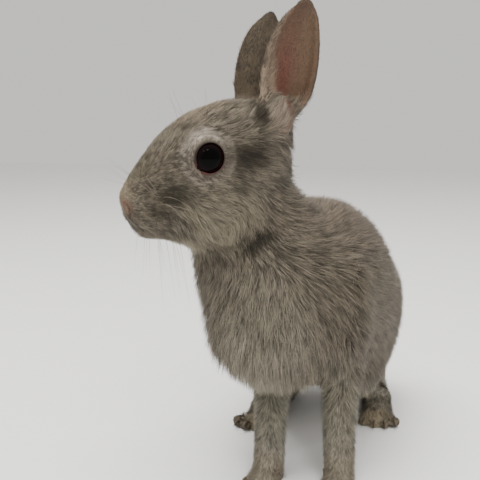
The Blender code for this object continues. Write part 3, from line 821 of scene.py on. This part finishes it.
def coatMaterial():
    material, tree, shader = newMaterial("agoutiCoat", {
        "Roughness": 0.58, "Specular IOR Level": 0.28, "Sheen Weight": 0.05, "Sheen Roughness": 0.5})
    parts = addNode(tree, "ShaderNodeSeparateXYZ", {0: painted(tree, "strand", "Vector")})
    along, ticked = parts.outputs[0], parts.outputs[1]
    # darker at the root: the grey undercoat, deepened as painted shade in the crevices between the locks;
    # then the light band, then a dark tip on the ticked tufts
    shade = rampBetween(tree, along, [(0.0, 0.34), (0.45, 0.82), (0.75, 1.0), (1.0, 1.06)])
    banded = mixColours(tree, "MULTIPLY", 1.0, painted(tree, "coatColour", "Color"), shade)
    reach = addNode(tree, "ShaderNodeMapRange", {"Value": along, "From Min": 0.18, "From Max": 0.55})
    amount = addNode(tree, "ShaderNodeMath", {"operation": "MULTIPLY", 0: reach.outputs[0], 1: ticked})
    tipped = mixColours(tree, "MIX", amount.outputs[0], banded, (*tones["dark"], 1))
    tree.links.new(tipped, shader.inputs["Base Color"])
    return material


setMaterial(skin, skinMaterial())

# The coat: closed tapered tufts rooted on a lighter copy of the skin, laid along it and gathered in locks
coatSize = {
    "formTriangles": 26000, "mostTriangles": 1420000, "pieceTriangles": 196000, "rootWidth": 0.14,
    "widthByLength": 0.018, "spread": 0.2, "lock": 9, "gather": 0.36, "strays": 0.02, "softness": 0.72,
    "patch": 0.003, "floor": 0.15,
}
# How tufts differ, each as its least factor and the range above it, and how far a stray departs
tuftSpread = {
    "lockTurn": 0.2, "lockHeight": (0.86, 0.28), "length": (0.72, 0.5), "height": (0.5, 0.5),
    "gather": (0.4, 0.9), "width": (0.7, 0.6), "strayHeight": 1.3, "strayWidth": 0.6,
}
# Along a tuft: how deep its root sits, how high and how gathered its middle is, how far a point may
# snap to the skin, and the fall of the tufts that hang free
tuftForm = {"rootSunk": 0.3, "middleHeight": 0.74, "middleGather": 0.35, "snap": 0.004, "fall": 1.5}
# A tuft's section: across and up, as shares of half its width
tuftSection = ((1, -0.2), (-1, -0.2), (0, 0.45))
# Mottle of the dark tufts: grain of the two noises, share of the finer one, and share of the whole
mottle = {"coarse": 330, "fine": 900, "fineShare": 0.8, "contrast": 1.4, "share": 0.38}
# What the coat leaves bare, in mm: round the eye's axis, out from the eyeball, at the soles, in the nostrils
bareParts = {"eyeOpening": 8.7, "eyeDepth": 12, "soleHeight": 0.9, "soleShare": 0.3, "nostril": 0.9}
# Round the eyes the hairs turn outwards and are shorter and flatter: reach and fade in mm
eyeGroom = {"reach": 10.0, "fade": 3.5, "turn": 1.3, "shorter": 0.45, "flatter": 0.4}
# Roots on each lid: how many, and between which turns from the eye's axis in degrees
lidRoots = {"count": 3600, "from": 46, "to": 82}
# Ticking: chance of a dark tuft, how dark it is, and how much the light tufts vary
ticking = {
    "least": 0.07, "range": 0.86, "steep": 11, "at": 0.98, "dark": (0.55, 0.4), "light": 0.12,
    "vary": 0.32, "earVary": 0.38, "byLock": 0.7, "limits": (0.45, 1.6),
}
# For each piece: segments along a tuft, how many tufts lie over each other
coatParts = {
    "coat_head_left": (1, 4.0), "coat_head_right": (1, 4.0), "coat_ears": (1, 2.0), "coat_feet": (1, 3.2),
    "coat_fore_legs": (1, 3.0), "coat_neck": (1, 5.0), "coat_breast": (1, 5.0), "coat_back_left": (1, 4.4),
    "coat_back_right": (1, 4.4), "coat_flank_left": (1, 4.6), "coat_flank_right": (1, 4.2),
    "coat_rump": (1, 4.2), "coat_haunches": (1, 4.4), "coat_tail": (2, 3.0),
}


def rootForm():
    # a lighter copy of the skin on which the tufts are rooted and unwrapped
    form = addObject("rootForm", skin.data.copy())
    applyModifier(form, "DECIMATE", {"ratio": coatSize["formTriangles"] / triangles(form)})
    applyModifier(form, "TRIANGULATE", {})
    return form


form = rootForm()
formMesh = form.data
formPoints, formNormals = pointsOf(formMesh), normalsOf(formMesh)
corners = readAll(formMesh.polygons, "vertices", 3, np.int32)
formTree = surfaceTree(formMesh)


def spreadOver(values, shares):
    # what these corner values come to at places given by their shares of the triangle's corners
    return (values * shares[:, :, None]).sum(1)


def onForm(points, faces):
    # smooth normals at points that lie on these triangles
    a, b, c = (formPoints[corners[faces, i]] for i in range(3))
    whole = np.cross(b - a, c - a)
    size = np.maximum((whole ** 2).sum(1), 1e-20)
    shareA = (np.cross(b - points, c - points) * whole).sum(1) / size
    shareB = (np.cross(c - points, a - points) * whole).sum(1) / size
    shares = np.clip(np.stack([shareA, shareB, 1 - shareA - shareB], 1), 0, 1)
    return unit(spreadOver(formNormals[corners[faces]], shares))


def snapped(points, farthest):
    # the nearest points of the form with their normals; a point with none near stays where it is
    found = [formTree.find_nearest(point, farthest) for point in points.tolist()]
    missing = np.array([hit[0] is None for hit in found])
    places = np.array([hit[0] if hit[0] is not None else (0, 0, 0) for hit in found])
    faces = np.array([hit[2] if hit[2] is not None else 0 for hit in found])
    places[missing] = points[missing]
    normals = onForm(places, faces)
    return places, normals, missing


def coatPieceOf(places, names):
    # each coat piece holds the tufts of one part of the body
    inHead = toHead(places)
    low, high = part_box("trunk")
    share = (places - np.array(low)) / (np.array(high) - np.array(low))
    piece = np.full(len(places), "coat_flank_left", dtype="<U24")
    rules = [
        ("coat_flank_right", share[:, 0] < 0.55),
        ("coat_back_left", (share[:, 2] > 0.72) & (share[:, 0] >= 0.55)),
        ("coat_back_right", (share[:, 2] > 0.72) & (share[:, 0] < 0.55)),
        ("coat_rump", share[:, 1] > 0.80),
        ("coat_breast", share[:, 1] < 0.16),
        ("coat_neck", names == "neck"),
        ("coat_head_left", np.isin(names, ("head", "lower_jaw", "nose")) & (inHead[:, 0] >= 0)),
        ("coat_head_right", np.isin(names, ("head", "lower_jaw", "nose")) & (inHead[:, 0] < 0)),
        ("coat_ears", np.char.startswith(names, "ear")),
        ("coat_tail", names == "tail"),
        ("coat_fore_legs", np.char.startswith(names, "fore")),
        ("coat_haunches", np.char.endswith(names, "thigh")),
        ("coat_feet", np.char.endswith(names, "foot")),
    ]
    for name, chosen in rules:
        piece[chosen] = name
    return piece


def tuftWidth(length):
    return coatSize["rootWidth"] + coatSize["widthByLength"] * length


def earHair(side, places, normals):
    # on the ears: lie, depth and length in mm, and the share of roots that carry hair
    headPlaces = toHead(places)
    across, up = earPlace(side, headPlaces)
    form = earForms[side]

    def outlineAt(heights):
        # where a line that keeps its place between the two edges runs at these heights
        front, rear = (np.interp(heights, form["heights"], form[edge]) for edge in ("fronts", "rears"))
        return (front + rear) / 2 + np.clip(across, -1, 1) * (rear - front) / 2

    rise = outlineAt(headPlaces[:, 2] + 3) - outlineAt(headPlaces[:, 2] - 1)
    inside = earInside(side, normals)
    band = earBand(across, up) * inside
    lean = rise / 4 - earGroom["lean"] * across + earGroom["bandLean"] * band * (1 - up)
    lies = turnFromHead(np.stack([np.zeros(len(places)), lean, np.ones(len(places))], 1))
    foot = earFoot(across, up, 0.36, 0.3)
    edge = np.clip((np.abs(across) - earGroom["edgeFrom"]) / 0.3, 0, 1) + np.clip((up - 0.85) / 0.1, 0, 1)
    edge = np.minimum(edge, 1)
    depth, length = (
        earGroom["back" + kind] + (earGroom["band" + kind] * along + earGroom["foot" + kind] * foot) * inside
        - earGroom["edge" + kind] * edge
        for kind, along in (("Depth", band), ("Length", band * (1 - up))))
    return lies, depth, length, np.clip(1 - inside + band + foot + earGroom["insideShare"], 0, 1)


def hairAt(places, normals, ears):
    lies, depth, length = groomAt(places)
    toAxis, outward = eyePlace(places)
    nearEye = np.clip((eyeGroom["reach"] - toAxis) / eyeGroom["fade"], 0, 1) * (outward > 0)
    radial = toHead(places) * (0, 1, 1)
    lies = unit(lies + turnFromHead(unit(radial)) * (eyeGroom["turn"] * nearEye)[:, None])
    length *= 1 - eyeGroom["shorter"] * nearEye
    depth *= 1 - eyeGroom["flatter"] * nearEye
    share = np.ones(len(places))
    for side in sides:
        own = np.flatnonzero(ears == side)
        lies[own], depth[own], length[own], share[own] = earHair(side, places[own], normals[own])
    return lies, depth, length, share


def sampleRoots():
    a, b, c = (formPoints[corners[:, i]] for i in range(3))
    whole = np.cross(b - a, c - a)
    areas = np.linalg.norm(whole, axis=1) / 2 / mm ** 2
    middles = (a + b + c) / 3
    names = nodeOfPoints(middles, fleshTree, fleshLabels)
    ears = onEars(middles)
    pieces = coatPieceOf(middles, names)
    pieces[ears != ""] = "coat_ears"
    lies, depth, length, share = hairAt(middles, unit(formNormals[corners].sum(1)), ears)
    layers = np.array([coatParts[piece][1] for piece in pieces])
    faces = np.array([coatParts[piece][0] for piece in pieces]) * 6 - 2
    density = 2 * layers * share / (tuftWidth(length) * length)
    toAxis, outward = eyePlace(middles)
    density[(toAxis < bareParts["eyeOpening"]) & (outward > 0) & (outward < bareParts["eyeDepth"])] = 0
    density[middles[:, 2] < bareParts["soleHeight"] * mm] *= bareParts["soleShare"]
    for sign in sides.values():
        apart = distanceToLine(toHead(middles), faceFolds["nostril"][0], sign)
        density *= np.clip(apart / bareParts["nostril"] - 0.9, 0, 1)
    for piece in coatParts:
        own = pieces == piece
        total = (areas * density * faces)[own].sum()
        density[own] *= min(1, coatSize["pieceTriangles"] / max(total, 1))
    density *= min(1, coatSize["mostTriangles"] / (areas * density * faces).sum())
    reached = np.cumsum(areas * density)
    count = int(reached[-1])
    chosen = np.minimum(np.searchsorted(reached, np.arange(count) + dice.random(count)), len(corners) - 1)
    u, v = dice.random(count), dice.random(count)
    folded = u + v > 1
    u[folded], v[folded] = 1 - u[folded], 1 - v[folded]
    shares = np.stack([1 - u - v, u, v], 1)
    places = spreadOver(formPoints[corners[chosen]], shares)
    normals = unit(spreadOver(formNormals[corners[chosen]], shares))
    return {"faces": chosen, "shares": shares, "places": places, "normals": normals,
            "ears": ears[chosen], "pieces": pieces[chosen], "facePieces": pieces}


def rootsOnLids(roots):
    # the lids carry their own roots, from just outside the opening to where the skin covers them
    count = lidRoots["count"]
    inner, outer = (math.cos(math.radians(lidRoots[key])) for key in ("from", "to"))
    for side, sign in sides.items():
        turn = dice.random(count) * 2 * math.pi
        polar = np.arccos(outer + (inner - outer) * dice.random(count))
        out = np.stack([sign * np.cos(polar), np.sin(polar) * np.cos(turn), np.sin(polar) * np.sin(turn)], 1)
        places = fromHead(out * (eyeRadius + lidRise(turn))[:, None] + (sign * eyeApart, 0, 0))
        found = [formTree.find_nearest(place)[2] for place in places.tolist()]
        added = {"faces": np.array(found), "places": places, "normals": turnFromHead(out)}
        added["shares"] = np.full((count, 3), 1 / 3)
        added["ears"] = np.full(count, "", dtype=roots["ears"].dtype)
        added["pieces"] = np.full(count, "coat_head_" + side, dtype=roots["pieces"].dtype)
        for key, values in added.items():
            roots[key] = np.concatenate([roots[key], values])
    # the order is shuffled, so that leaders of locks are found everywhere
    order = dice.permutation(len(roots["faces"]))
    for key in added:
        roots[key] = roots[key][order]
    return roots


def clearOfLids(points, normals):
    # what would lie inside the lids is lifted onto them
    toAxis, outward = eyePlace(points)
    places = toHead(points)
    reach = eyeRadius + 0.1 + lidRise(np.arctan2(places[:, 2], places[:, 1]))
    inside = np.flatnonzero((np.hypot(toAxis, outward) < reach) & (outward > -2))
    places, reach = places[inside], reach[inside, None]
    centre = np.sign(places[:, :1]) * (eyeApart, 0, 0)
    radial = unit(places - centre)
    points[inside] = fromHead(centre + radial * reach)
    normals[inside] = turnFromHead(radial)


def alongSurface(direction, normal):
    return unit(direction - (direction * normal).sum(1)[:, None] * normal)


def drawn(count, spread):
    least, above = spread
    return least + above * dice.random(count)


def growTufts(roots):
    places, normals = roots["places"], roots["normals"]
    count = len(places)
    onEar = roots["ears"] != ""
    lies, depth, length, _ = hairAt(places, normals, roots["ears"])

    # the tufts of a lock share their leader's turn and height, and lean towards its tip
    leaders = np.arange(0, count, coatSize["lock"])
    tree = placeTree(places[leaders])
    lock = np.array([tree.find(place)[1] for place in places.tolist()])
    lockTurn = dice.normal(0, tuftSpread["lockTurn"], len(leaders))[lock]
    lockHeight = drawn(len(leaders), tuftSpread["lockHeight"])[lock]
    lockDark = dice.random(len(leaders))
    mottled = np.array([
        noise.noise(Vector(place) * mottle["coarse"])
        + mottle["fineShare"] * noise.noise(Vector(place) * mottle["fine"]) for place in places[leaders]])
    mottled = np.clip(mottled * mottle["contrast"] + 0.5, 0, 1)
    lockDark = (lockDark * (1 - mottle["share"]) + mottled * mottle["share"])[lock]
    # long tufts of the body are more even than the short ones of the head
    lockDark = 0.5 + (lockDark - 0.5) * np.interp(length, (5, 8), (1.0, 0.7))

    turn = lockTurn + dice.normal(0, coatSize["spread"], count)
    first = alongSurface(lies, normals)
    sideways = np.cross(normals, first)
    first = first * np.cos(turn)[:, None] + sideways * np.sin(turn)[:, None]
    stray = dice.random(count) < coatSize["strays"]
    length = length * drawn(count, tuftSpread["length"])
    height = depth * lockHeight * drawn(count, tuftSpread["height"])
    height = height * np.where(stray, tuftSpread["strayHeight"], 1)
    half = np.sqrt(np.maximum(length ** 2 - height ** 2, 0.1)) / 2 * mm

    middle, middleNormals, lost = snapped(places + first * half[:, None], tuftForm["snap"])
    middle[onEar] = (places + first * half[:, None])[onEar]
    middleNormals[onEar | lost] = normals[onEar | lost]
    clearOfLids(middle, middleNormals)
    second = alongSurface(groomAt(middle)[0], middleNormals)
    second[onEar] = first[onEar]
    second = unit(second * 0.6 + alongSurface(first, middleNormals) * 0.7)
    end, endNormals, lost = snapped(middle + second * half[:, None], tuftForm["snap"])
    end[onEar] = (middle + second * half[:, None])[onEar]
    # at the body's lower edges the tufts hang free of it
    hangs = np.clip((-endNormals[:, 2] - 0.1) / 0.5, 0, 1)
    hangs *= np.where(roots["pieces"] == "coat_breast", 1, np.clip((normals[:, 2] + 0.75) / 0.4, 0, 1))
    free = np.isin(roots["pieces"], ("coat_breast", "coat_flank_left", "coat_flank_right"))
    hangs = (hangs * free)[:, None]
    fall = unit(first * 0.6 + np.array((0, 0, -1.0)) * 0.8)
    end += (middle + fall * half[:, None] * tuftForm["fall"] - end) * hangs
    endNormals = unit(endNormals + (normals - endNormals) * hangs)
    endNormals[onEar | lost] = middleNormals[onEar | lost]
    clearOfLids(end, endNormals)

    middle = middle + middleNormals * (height * tuftForm["middleHeight"] * mm)[:, None]
    end = end + endNormals * (height * mm)[:, None]
    gather = coatSize["gather"] * drawn(count, tuftSpread["gather"])[:, None]
    gather = gather * np.where(stray | onEar, 0, 1)[:, None]
    end = end + (end[leaders][lock] - end) * gather
    middle = middle + (middle[leaders][lock] - middle) * gather * tuftForm["middleGather"]
    width = tuftWidth(length) * drawn(count, tuftSpread["width"])
    width = width * np.where(stray, tuftSpread["strayWidth"], 1)
    return {"start": places - normals * tuftForm["rootSunk"] * mm, "middle": middle, "end": end,
            "normals": normals, "endNormals": endNormals, "width": width, "lockDark": lockDark}


def tuftMesh(name, grown, colours, ticked, patches, steps):
    # rings of three points along each tuft, closed by a point at its tip and a face at its root
    count = len(grown["start"])
    control = 2 * grown["middle"] - (grown["start"] + grown["end"]) / 2
    if steps == 1:
        control = (grown["start"] + grown["end"]) / 2
    points, surface, strand, unwrap = [], [], [], []
    for ring in range(steps):
        t = ring / steps
        centre = grown["start"] * (1 - t) ** 2 + 2 * control * t * (1 - t) + grown["end"] * t ** 2
        heading = unit((control - grown["start"]) * (1 - t) + (grown["end"] - control) * t)
        normal = unit(grown["normals"] * (1 - t) + grown["endNormals"] * t)
        across = unit(np.cross(heading, normal))
        up = np.cross(across, heading)
        wide = (grown["width"] * (1, 0.95)[ring] / 2 * mm)[:, None]
        for sideways, lift in tuftSection:
            points.append(centre + across * wide * sideways + up * wide * lift)
            surface.append(normal)
            strand.append(np.full(count, t))
            unwrap.append(patches + np.array((sideways * 0.4, t - 0.5)) * coatSize["patch"])
    points.append(grown["end"])
    surface.append(unit(grown["endNormals"]))
    strand.append(np.ones(count))
    unwrap.append(patches + np.array((0, 0.5)) * coatSize["patch"])
    corner = len(points)
    points = np.stack(points, 1).reshape(-1, 3)
    points[:, 2] = np.maximum(points[:, 2], coatSize["floor"] * mm)
    pattern = [(0, 2, 1)]
    for low in range(0, steps * 3 - 3, 3):
        for i in range(3):
            j = (i + 1) % 3
            pattern += [(low + i, low + j, low + 3 + j), (low + i, low + 3 + j, low + 3 + i)]
    last = (steps - 1) * 3
    pattern += [(last + i, last + (i + 1) % 3, corner - 1) for i in range(3)]
    faces = (np.array(pattern)[None] + (np.arange(count) * corner)[:, None, None]).reshape(-1, 3)

    mesh = bpy.data.meshes.new(name)
    mesh.vertices.add(len(points))
    mesh.vertices.foreach_set("co", points.astype(np.float32).ravel())
    mesh.loops.add(faces.size)
    mesh.loops.foreach_set("vertex_index", faces.astype(np.int32).ravel())
    mesh.polygons.add(len(faces))
    mesh.polygons.foreach_set("loop_start", np.arange(0, faces.size, 3, dtype=np.int32))
    mesh.update(calc_edges=True)
    mesh.shade_smooth()
    layer = mesh.uv_layers.new(name="OFBake")
    unwrap = np.clip(np.stack(unwrap, 1).reshape(-1, 2), 0.002, 0.998)
    layer.uv.foreach_set("vector", unwrap[faces.ravel()].astype(np.float32).ravel())
    writeColours(mesh, "coatColour", np.repeat(colours, corner, axis=0))
    along = np.stack(strand, 1).ravel()
    writeVectors(mesh, "strand", np.stack([along, np.repeat(ticked, corner), np.zeros(len(along))], 1))
    # shading normals lean to the body's, so that the coat shades as one soft form
    own = np.repeat(readAll(mesh.polygons, "normal", 3), 3, axis=0)
    surface = np.stack(surface, 1).reshape(-1, 3)[faces.ravel()]
    facing = (surface * own).sum(1)
    lean = coatSize["softness"] * np.clip(facing / 0.35, 0, 1)[:, None]
    mesh.normals_split_custom_set(unit(surface * lean + own * (1 - lean)).tolist())
    return addObject(name, mesh)


def unwrapForm(facePieces):
    # unwraps the part of the form under each coat piece by itself
    selectOnly(form)
    while formMesh.uv_layers:
        formMesh.uv_layers.remove(formMesh.uv_layers[0])
    formMesh.uv_layers.new(name="OFBake")
    bpy.context.tool_settings.mesh_select_mode = (False, False, True)
    for name in sorted(set(facePieces)):
        bpy.ops.object.mode_set(mode="EDIT")
        bpy.ops.mesh.select_all(action="DESELECT")
        bpy.ops.object.mode_set(mode="OBJECT")
        formMesh.polygons.foreach_set("select", facePieces == name)
        bpy.ops.object.mode_set(mode="EDIT")
        bpy.ops.uv.smart_project(angle_limit=math.radians(70), island_margin=0.004)
        bpy.ops.object.mode_set(mode="OBJECT")
    return readAll(formMesh.uv_layers["OFBake"].uv, "vector", 2).reshape(-1, 3, 2)


def dressInCoat():
    roots = rootsOnLids(sampleRoots())
    print("roots:", len(roots["faces"]))
    grown = growTufts(roots)
    # the markings lie where a tuft shows, which is its outer half
    light, dark = paintAt(grown["middle"] * 0.4 + grown["end"] * 0.6)
    paintEars(roots["places"], roots["normals"], roots["ears"], light, dark)
    count = len(light)
    onEar = roots["ears"] != ""
    bright = 1 + np.where(onEar, ticking["earVary"], ticking["vary"]) * dice.normal(0, 1, count)
    bright += ticking["byLock"] * (0.5 - grown["lockDark"])
    light = light * np.clip(bright, *ticking["limits"])[:, None]
    chance = softStep(ticking["steep"] * (grown["lockDark"] + dark - ticking["at"]))
    isDark = dice.random(count) < ticking["least"] + ticking["range"] * chance
    ticked = np.where(isDark, drawn(count, ticking["dark"]), ticking["light"] * dice.random(count))
    unwrap = unwrapForm(roots["facePieces"])
    patches = spreadOver(unwrap[roots["faces"]], roots["shares"])
    made = []
    for name, (steps, _) in coatParts.items():
        own = np.flatnonzero(roots["pieces"] == name)
        part = {key: value[own] for key, value in grown.items()}
        piece = tuftMesh(name, part, light[own], ticked[own], patches[own], steps)
        made.append(piece)
        print(name, len(own), "tufts,", triangles(piece), "triangles")
    return made


coatPieces = dressInCoat()
bpy.data.objects.remove(form)
agoutiCoat = coatMaterial()
for piece in coatPieces:
    setMaterial(piece, agoutiCoat)


# The eyes: a ball with a clearer bulge over the iris, glossy all over
eyeSize = {"bulge": 0.5, "bulgeFrom": 0.55, "pupil": 3.9, "radius": 8.0, "segments": 64, "rings": 40}


def makeEye(side):
    sign = sides[side]
    bpy.ops.object.select_all(action="DESELECT")
    bpy.ops.mesh.primitive_uv_sphere_add(
        segments=eyeSize["segments"], ring_count=eyeSize["rings"], radius=eyeRadius)
    ball = bpy.context.object
    ball.name = "eyeball_" + side
    places = pointsOf(ball.data)
    outwards = (places[:, 2] / eyeRadius - eyeSize["bulgeFrom"]) / 0.45
    bulge = eyeSize["bulge"] * np.clip(outwards, 0, 1) ** 1.5
    places *= (1 + bulge / eyeRadius)[:, None]
    turned = np.stack([sign * (places[:, 2] + eyeApart), places[:, 0], sign * places[:, 1]], axis=1)
    movePoints(ball.data, fromHead(turned))
    ball.data.shade_smooth()
    radius = np.hypot(places[:, 0], places[:, 1])
    angle = np.arctan2(places[:, 1], places[:, 0])
    writeVectors(ball.data, "irisPlace", np.stack([radius, angle, (places[:, 2] > 0) * 1.0], 1))
    setMaterial(ball, eyeMaterial())
    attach(ball, "root")
    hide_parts("eye_" + side)
    return ball


def eyeMaterial():
    material, tree, shader = newMaterial("wetEye", {
        "Roughness": 0.08, "Specular IOR Level": 0.02, "Coat Weight": 0.05, "Coat Roughness": 0.015})
    parts = addNode(tree, "ShaderNodeSeparateXYZ", {0: painted(tree, "irisPlace", "Vector")})
    share = {"operation": "DIVIDE", 0: parts.outputs[0], 1: eyeSize["radius"]}
    pupil = eyeSize["pupil"] / eyeSize["radius"]
    colour = rampBetween(tree, addNode(tree, "ShaderNodeMath", share).outputs[0], [
        (pupil - 0.06, (0.001, 0.001, 0.001)), (pupil + 0.02, (0.003, 0.0015, 0.0015)),
        (0.6, (0.005, 0.002, 0.002)), (0.66, (0.004, 0.002, 0.002)), (0.72, (0.018, 0.005, 0.005)),
    ])
    tree.links.new(colour, shader.inputs["Base Color"])
    return material


for side in sides:
    makeEye(side)


# Whiskers, as tapered hairs. For each group: how many, ranges of the root's y and z in the head's frame,
# direction outwards, back and up, length range, sag, whether dark
whiskerSize = {
    "rootRadius": 0.08, "points": 9, "sides": 1, "rootX": 16, "rootSunk": 0.8, "turn": 0.12, "taper": 0.85,
}
whiskerGroups = {
    "under": (7, (-20, -12), (-25, -20.5), (0.52, 0.08, -0.84), (27, 34), 5.0, True),
    "side": (4, (-22, -13), (-20, -14), (0.86, 0.30, -0.06), (20, 27), 5.0, False),
    "front": (5, (-24, -19), (-17, -12), (0.36, -0.68, 0.60), (17, 22), 1.5, False),
    "brow": (3, (-3, 3), (13, 15), (0.30, -0.34, 0.86), (13, 19), -1.0, False),
}


def growWhiskers(name, wantDark, tone):
    curve = bpy.data.curves.new(name, "CURVE")
    curve.dimensions = "3D"
    curve.bevel_depth = whiskerSize["rootRadius"] * mm
    curve.bevel_resolution = whiskerSize["sides"]
    curve.use_fill_caps = True
    skinTree = surfaceTree(skin.data)
    for side, sign in sides.items():
        for number, backRange, upRange, heading, lengths, sag, isDark in whiskerGroups.values():
            if isDark != wantDark:
                continue
            for _ in range(number):
                root = (sign * whiskerSize["rootX"], dice.uniform(*backRange), dice.uniform(*upRange))
                root = np.array(skinTree.find_nearest(fromHead(np.array([root]))[0].tolist())[0])
                turned = unit(np.array(heading) * (sign, 1, 1) + dice.normal(0, whiskerSize["turn"], 3))
                heads = turnFromHead(turned[None])[0]
                length = dice.uniform(*lengths)
                spline = curve.splines.new("POLY")
                spline.points.add(whiskerSize["points"] - 1)
                for i, point in enumerate(spline.points):
                    t = i / (whiskerSize["points"] - 1)
                    reach = (t * length - whiskerSize["rootSunk"]) * mm
                    place = root + heads * reach - np.array((0, 0, sag * t * t * mm))
                    point.co = (*place, 1)
                    point.radius = 1 - whiskerSize["taper"] * t
    piece = addObject(name, curve)
    selectOnly(piece)
    bpy.ops.object.convert(target="MESH")
    piece.data.shade_smooth()
    setMaterial(piece, grainyMaterial(name + "Hair", 240.0, 1.0, tone * 0.8, tone * 1.15, 0.4))
    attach(piece, "root")
    print(name, triangles(piece), "triangles")


growWhiskers("whiskersDark", True, tones["dark"])
growWhiskers("whiskersPale", False, tones["agouti"] * 0.9)


# Claws: smooth copies of the solids, drawn a little further into the toes
clawSize = {"levels": 1, "length": 0.8}


def growClaws():
    names = [name for name in sorted(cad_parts) if "claw" in name]
    made = []
    for name in names:
        claw = addObject(name + "_horn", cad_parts[name].data.copy())
        applyModifier(claw, "WELD", {"merge_threshold": 0.001 * mm})
        applyModifier(claw, "SUBSURF", {"levels": clawSize["levels"]})
        points = pointsOf(claw.data)
        foot = inBox(name.split("_claw")[0] + ("_paw" if "fore" in name else "_foot"), (0.5, 0.5, 0.5))
        root = points[np.argmin(np.linalg.norm(points - foot, axis=1))]
        movePoints(claw.data, root + (points - root) * clawSize["length"])
        made.append(claw)
    selectOnly(*made)
    bpy.ops.object.join()
    claws = bpy.context.object
    claws.name = "claws"
    claws.data.shade_smooth()
    horn = grainyMaterial("clawHorn", 900.0, 2.0, (0.060, 0.042, 0.028), (0.130, 0.095, 0.064), 0.34)
    setMaterial(claws, horn)
    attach(claws, "root")
    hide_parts(*names)
    print("claws:", triangles(claws), "triangles")


growClaws()
for piece in coatPieces:
    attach(piece, "root")
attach(skin, "root")
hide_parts(*fleshNodes)


# A plain pale floor, soft studio light, and the camera
studio = {
    "floor": 1.6, "floorColour": (0.84, 0.83, 0.81, 1), "airColour": (0.80, 0.785, 0.755, 1), "air": 1.0,
    "azimuth": 15, "pitch": 10, "lens": 56.25, "fromHead": (95.495, -286.143, 18.781),
}
# Each lamp: place and size in metres, power in watts. The glints show in the eyes, the others don't
lamps = {
    "overhead": ((-0.12, -0.1, 1.0), 0.8, 18.0), "front": ((0.5, -1.0, 0.7), 0.8, 6.0),
    "glintA": ((0.30, -0.62, 0.95), 0.04, 0.7), "glintB": ((0.42, -0.55, 0.97), 0.04, 0.7),
    "glintC": ((0.02, -0.75, 0.80), 0.05, 0.7),
}


def makeStudio():
    bpy.ops.object.select_all(action="DESELECT")
    bpy.ops.mesh.primitive_plane_add(size=studio["floor"] * 2)
    floor = bpy.context.object
    floor.name = "studioFloor"
    pale = newMaterial("paleFloor", {"Base Color": studio["floorColour"], "Roughness": 0.5})[0]
    setMaterial(floor, pale)
    floor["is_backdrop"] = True

    world = bpy.data.worlds.new("studio")
    world.use_nodes = True
    background = world.node_tree.nodes["Background"]
    background.inputs[0].default_value = studio["airColour"]
    background.inputs[1].default_value = studio["air"]
    bpy.context.scene.world = world

    for name, (place, size, power) in lamps.items():
        lamp = bpy.data.lights.new(name, "AREA")
        lamp.size = size
        lamp.energy = power
        lit = addObject(name, lamp)
        lit.location = place
        lit.visible_glossy = "glint" in name
        lit.rotation_euler = (Vector((0, 0, 0.08)) - Vector(place)).to_track_quat("-Z", "Y").to_euler()

    azimuth, pitch = math.radians(studio["azimuth"]), math.radians(studio["pitch"])
    level = math.cos(pitch)
    ahead = Vector((-math.sin(azimuth) * level, math.cos(azimuth) * level, -math.sin(pitch)))
    lens = bpy.data.cameras.new("camera")
    lens.sensor_width = 36
    lens.lens = studio["lens"]
    lens.clip_start = 0.01
    camera = addObject("camera", lens)
    camera.location = headOrigin + Vector(studio["fromHead"]) * mm
    camera.rotation_mode = "QUATERNION"
    camera.rotation_quaternion = ahead.to_track_quat("-Z", "Y")
    bpy.context.scene.camera = camera


makeStudio()
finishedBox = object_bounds()
growth = [[round((b - a) / mm, 1) for a, b in zip(*corner)] for corner in zip(cadBox, finishedBox)]
print("box grows by (mm):", growth)
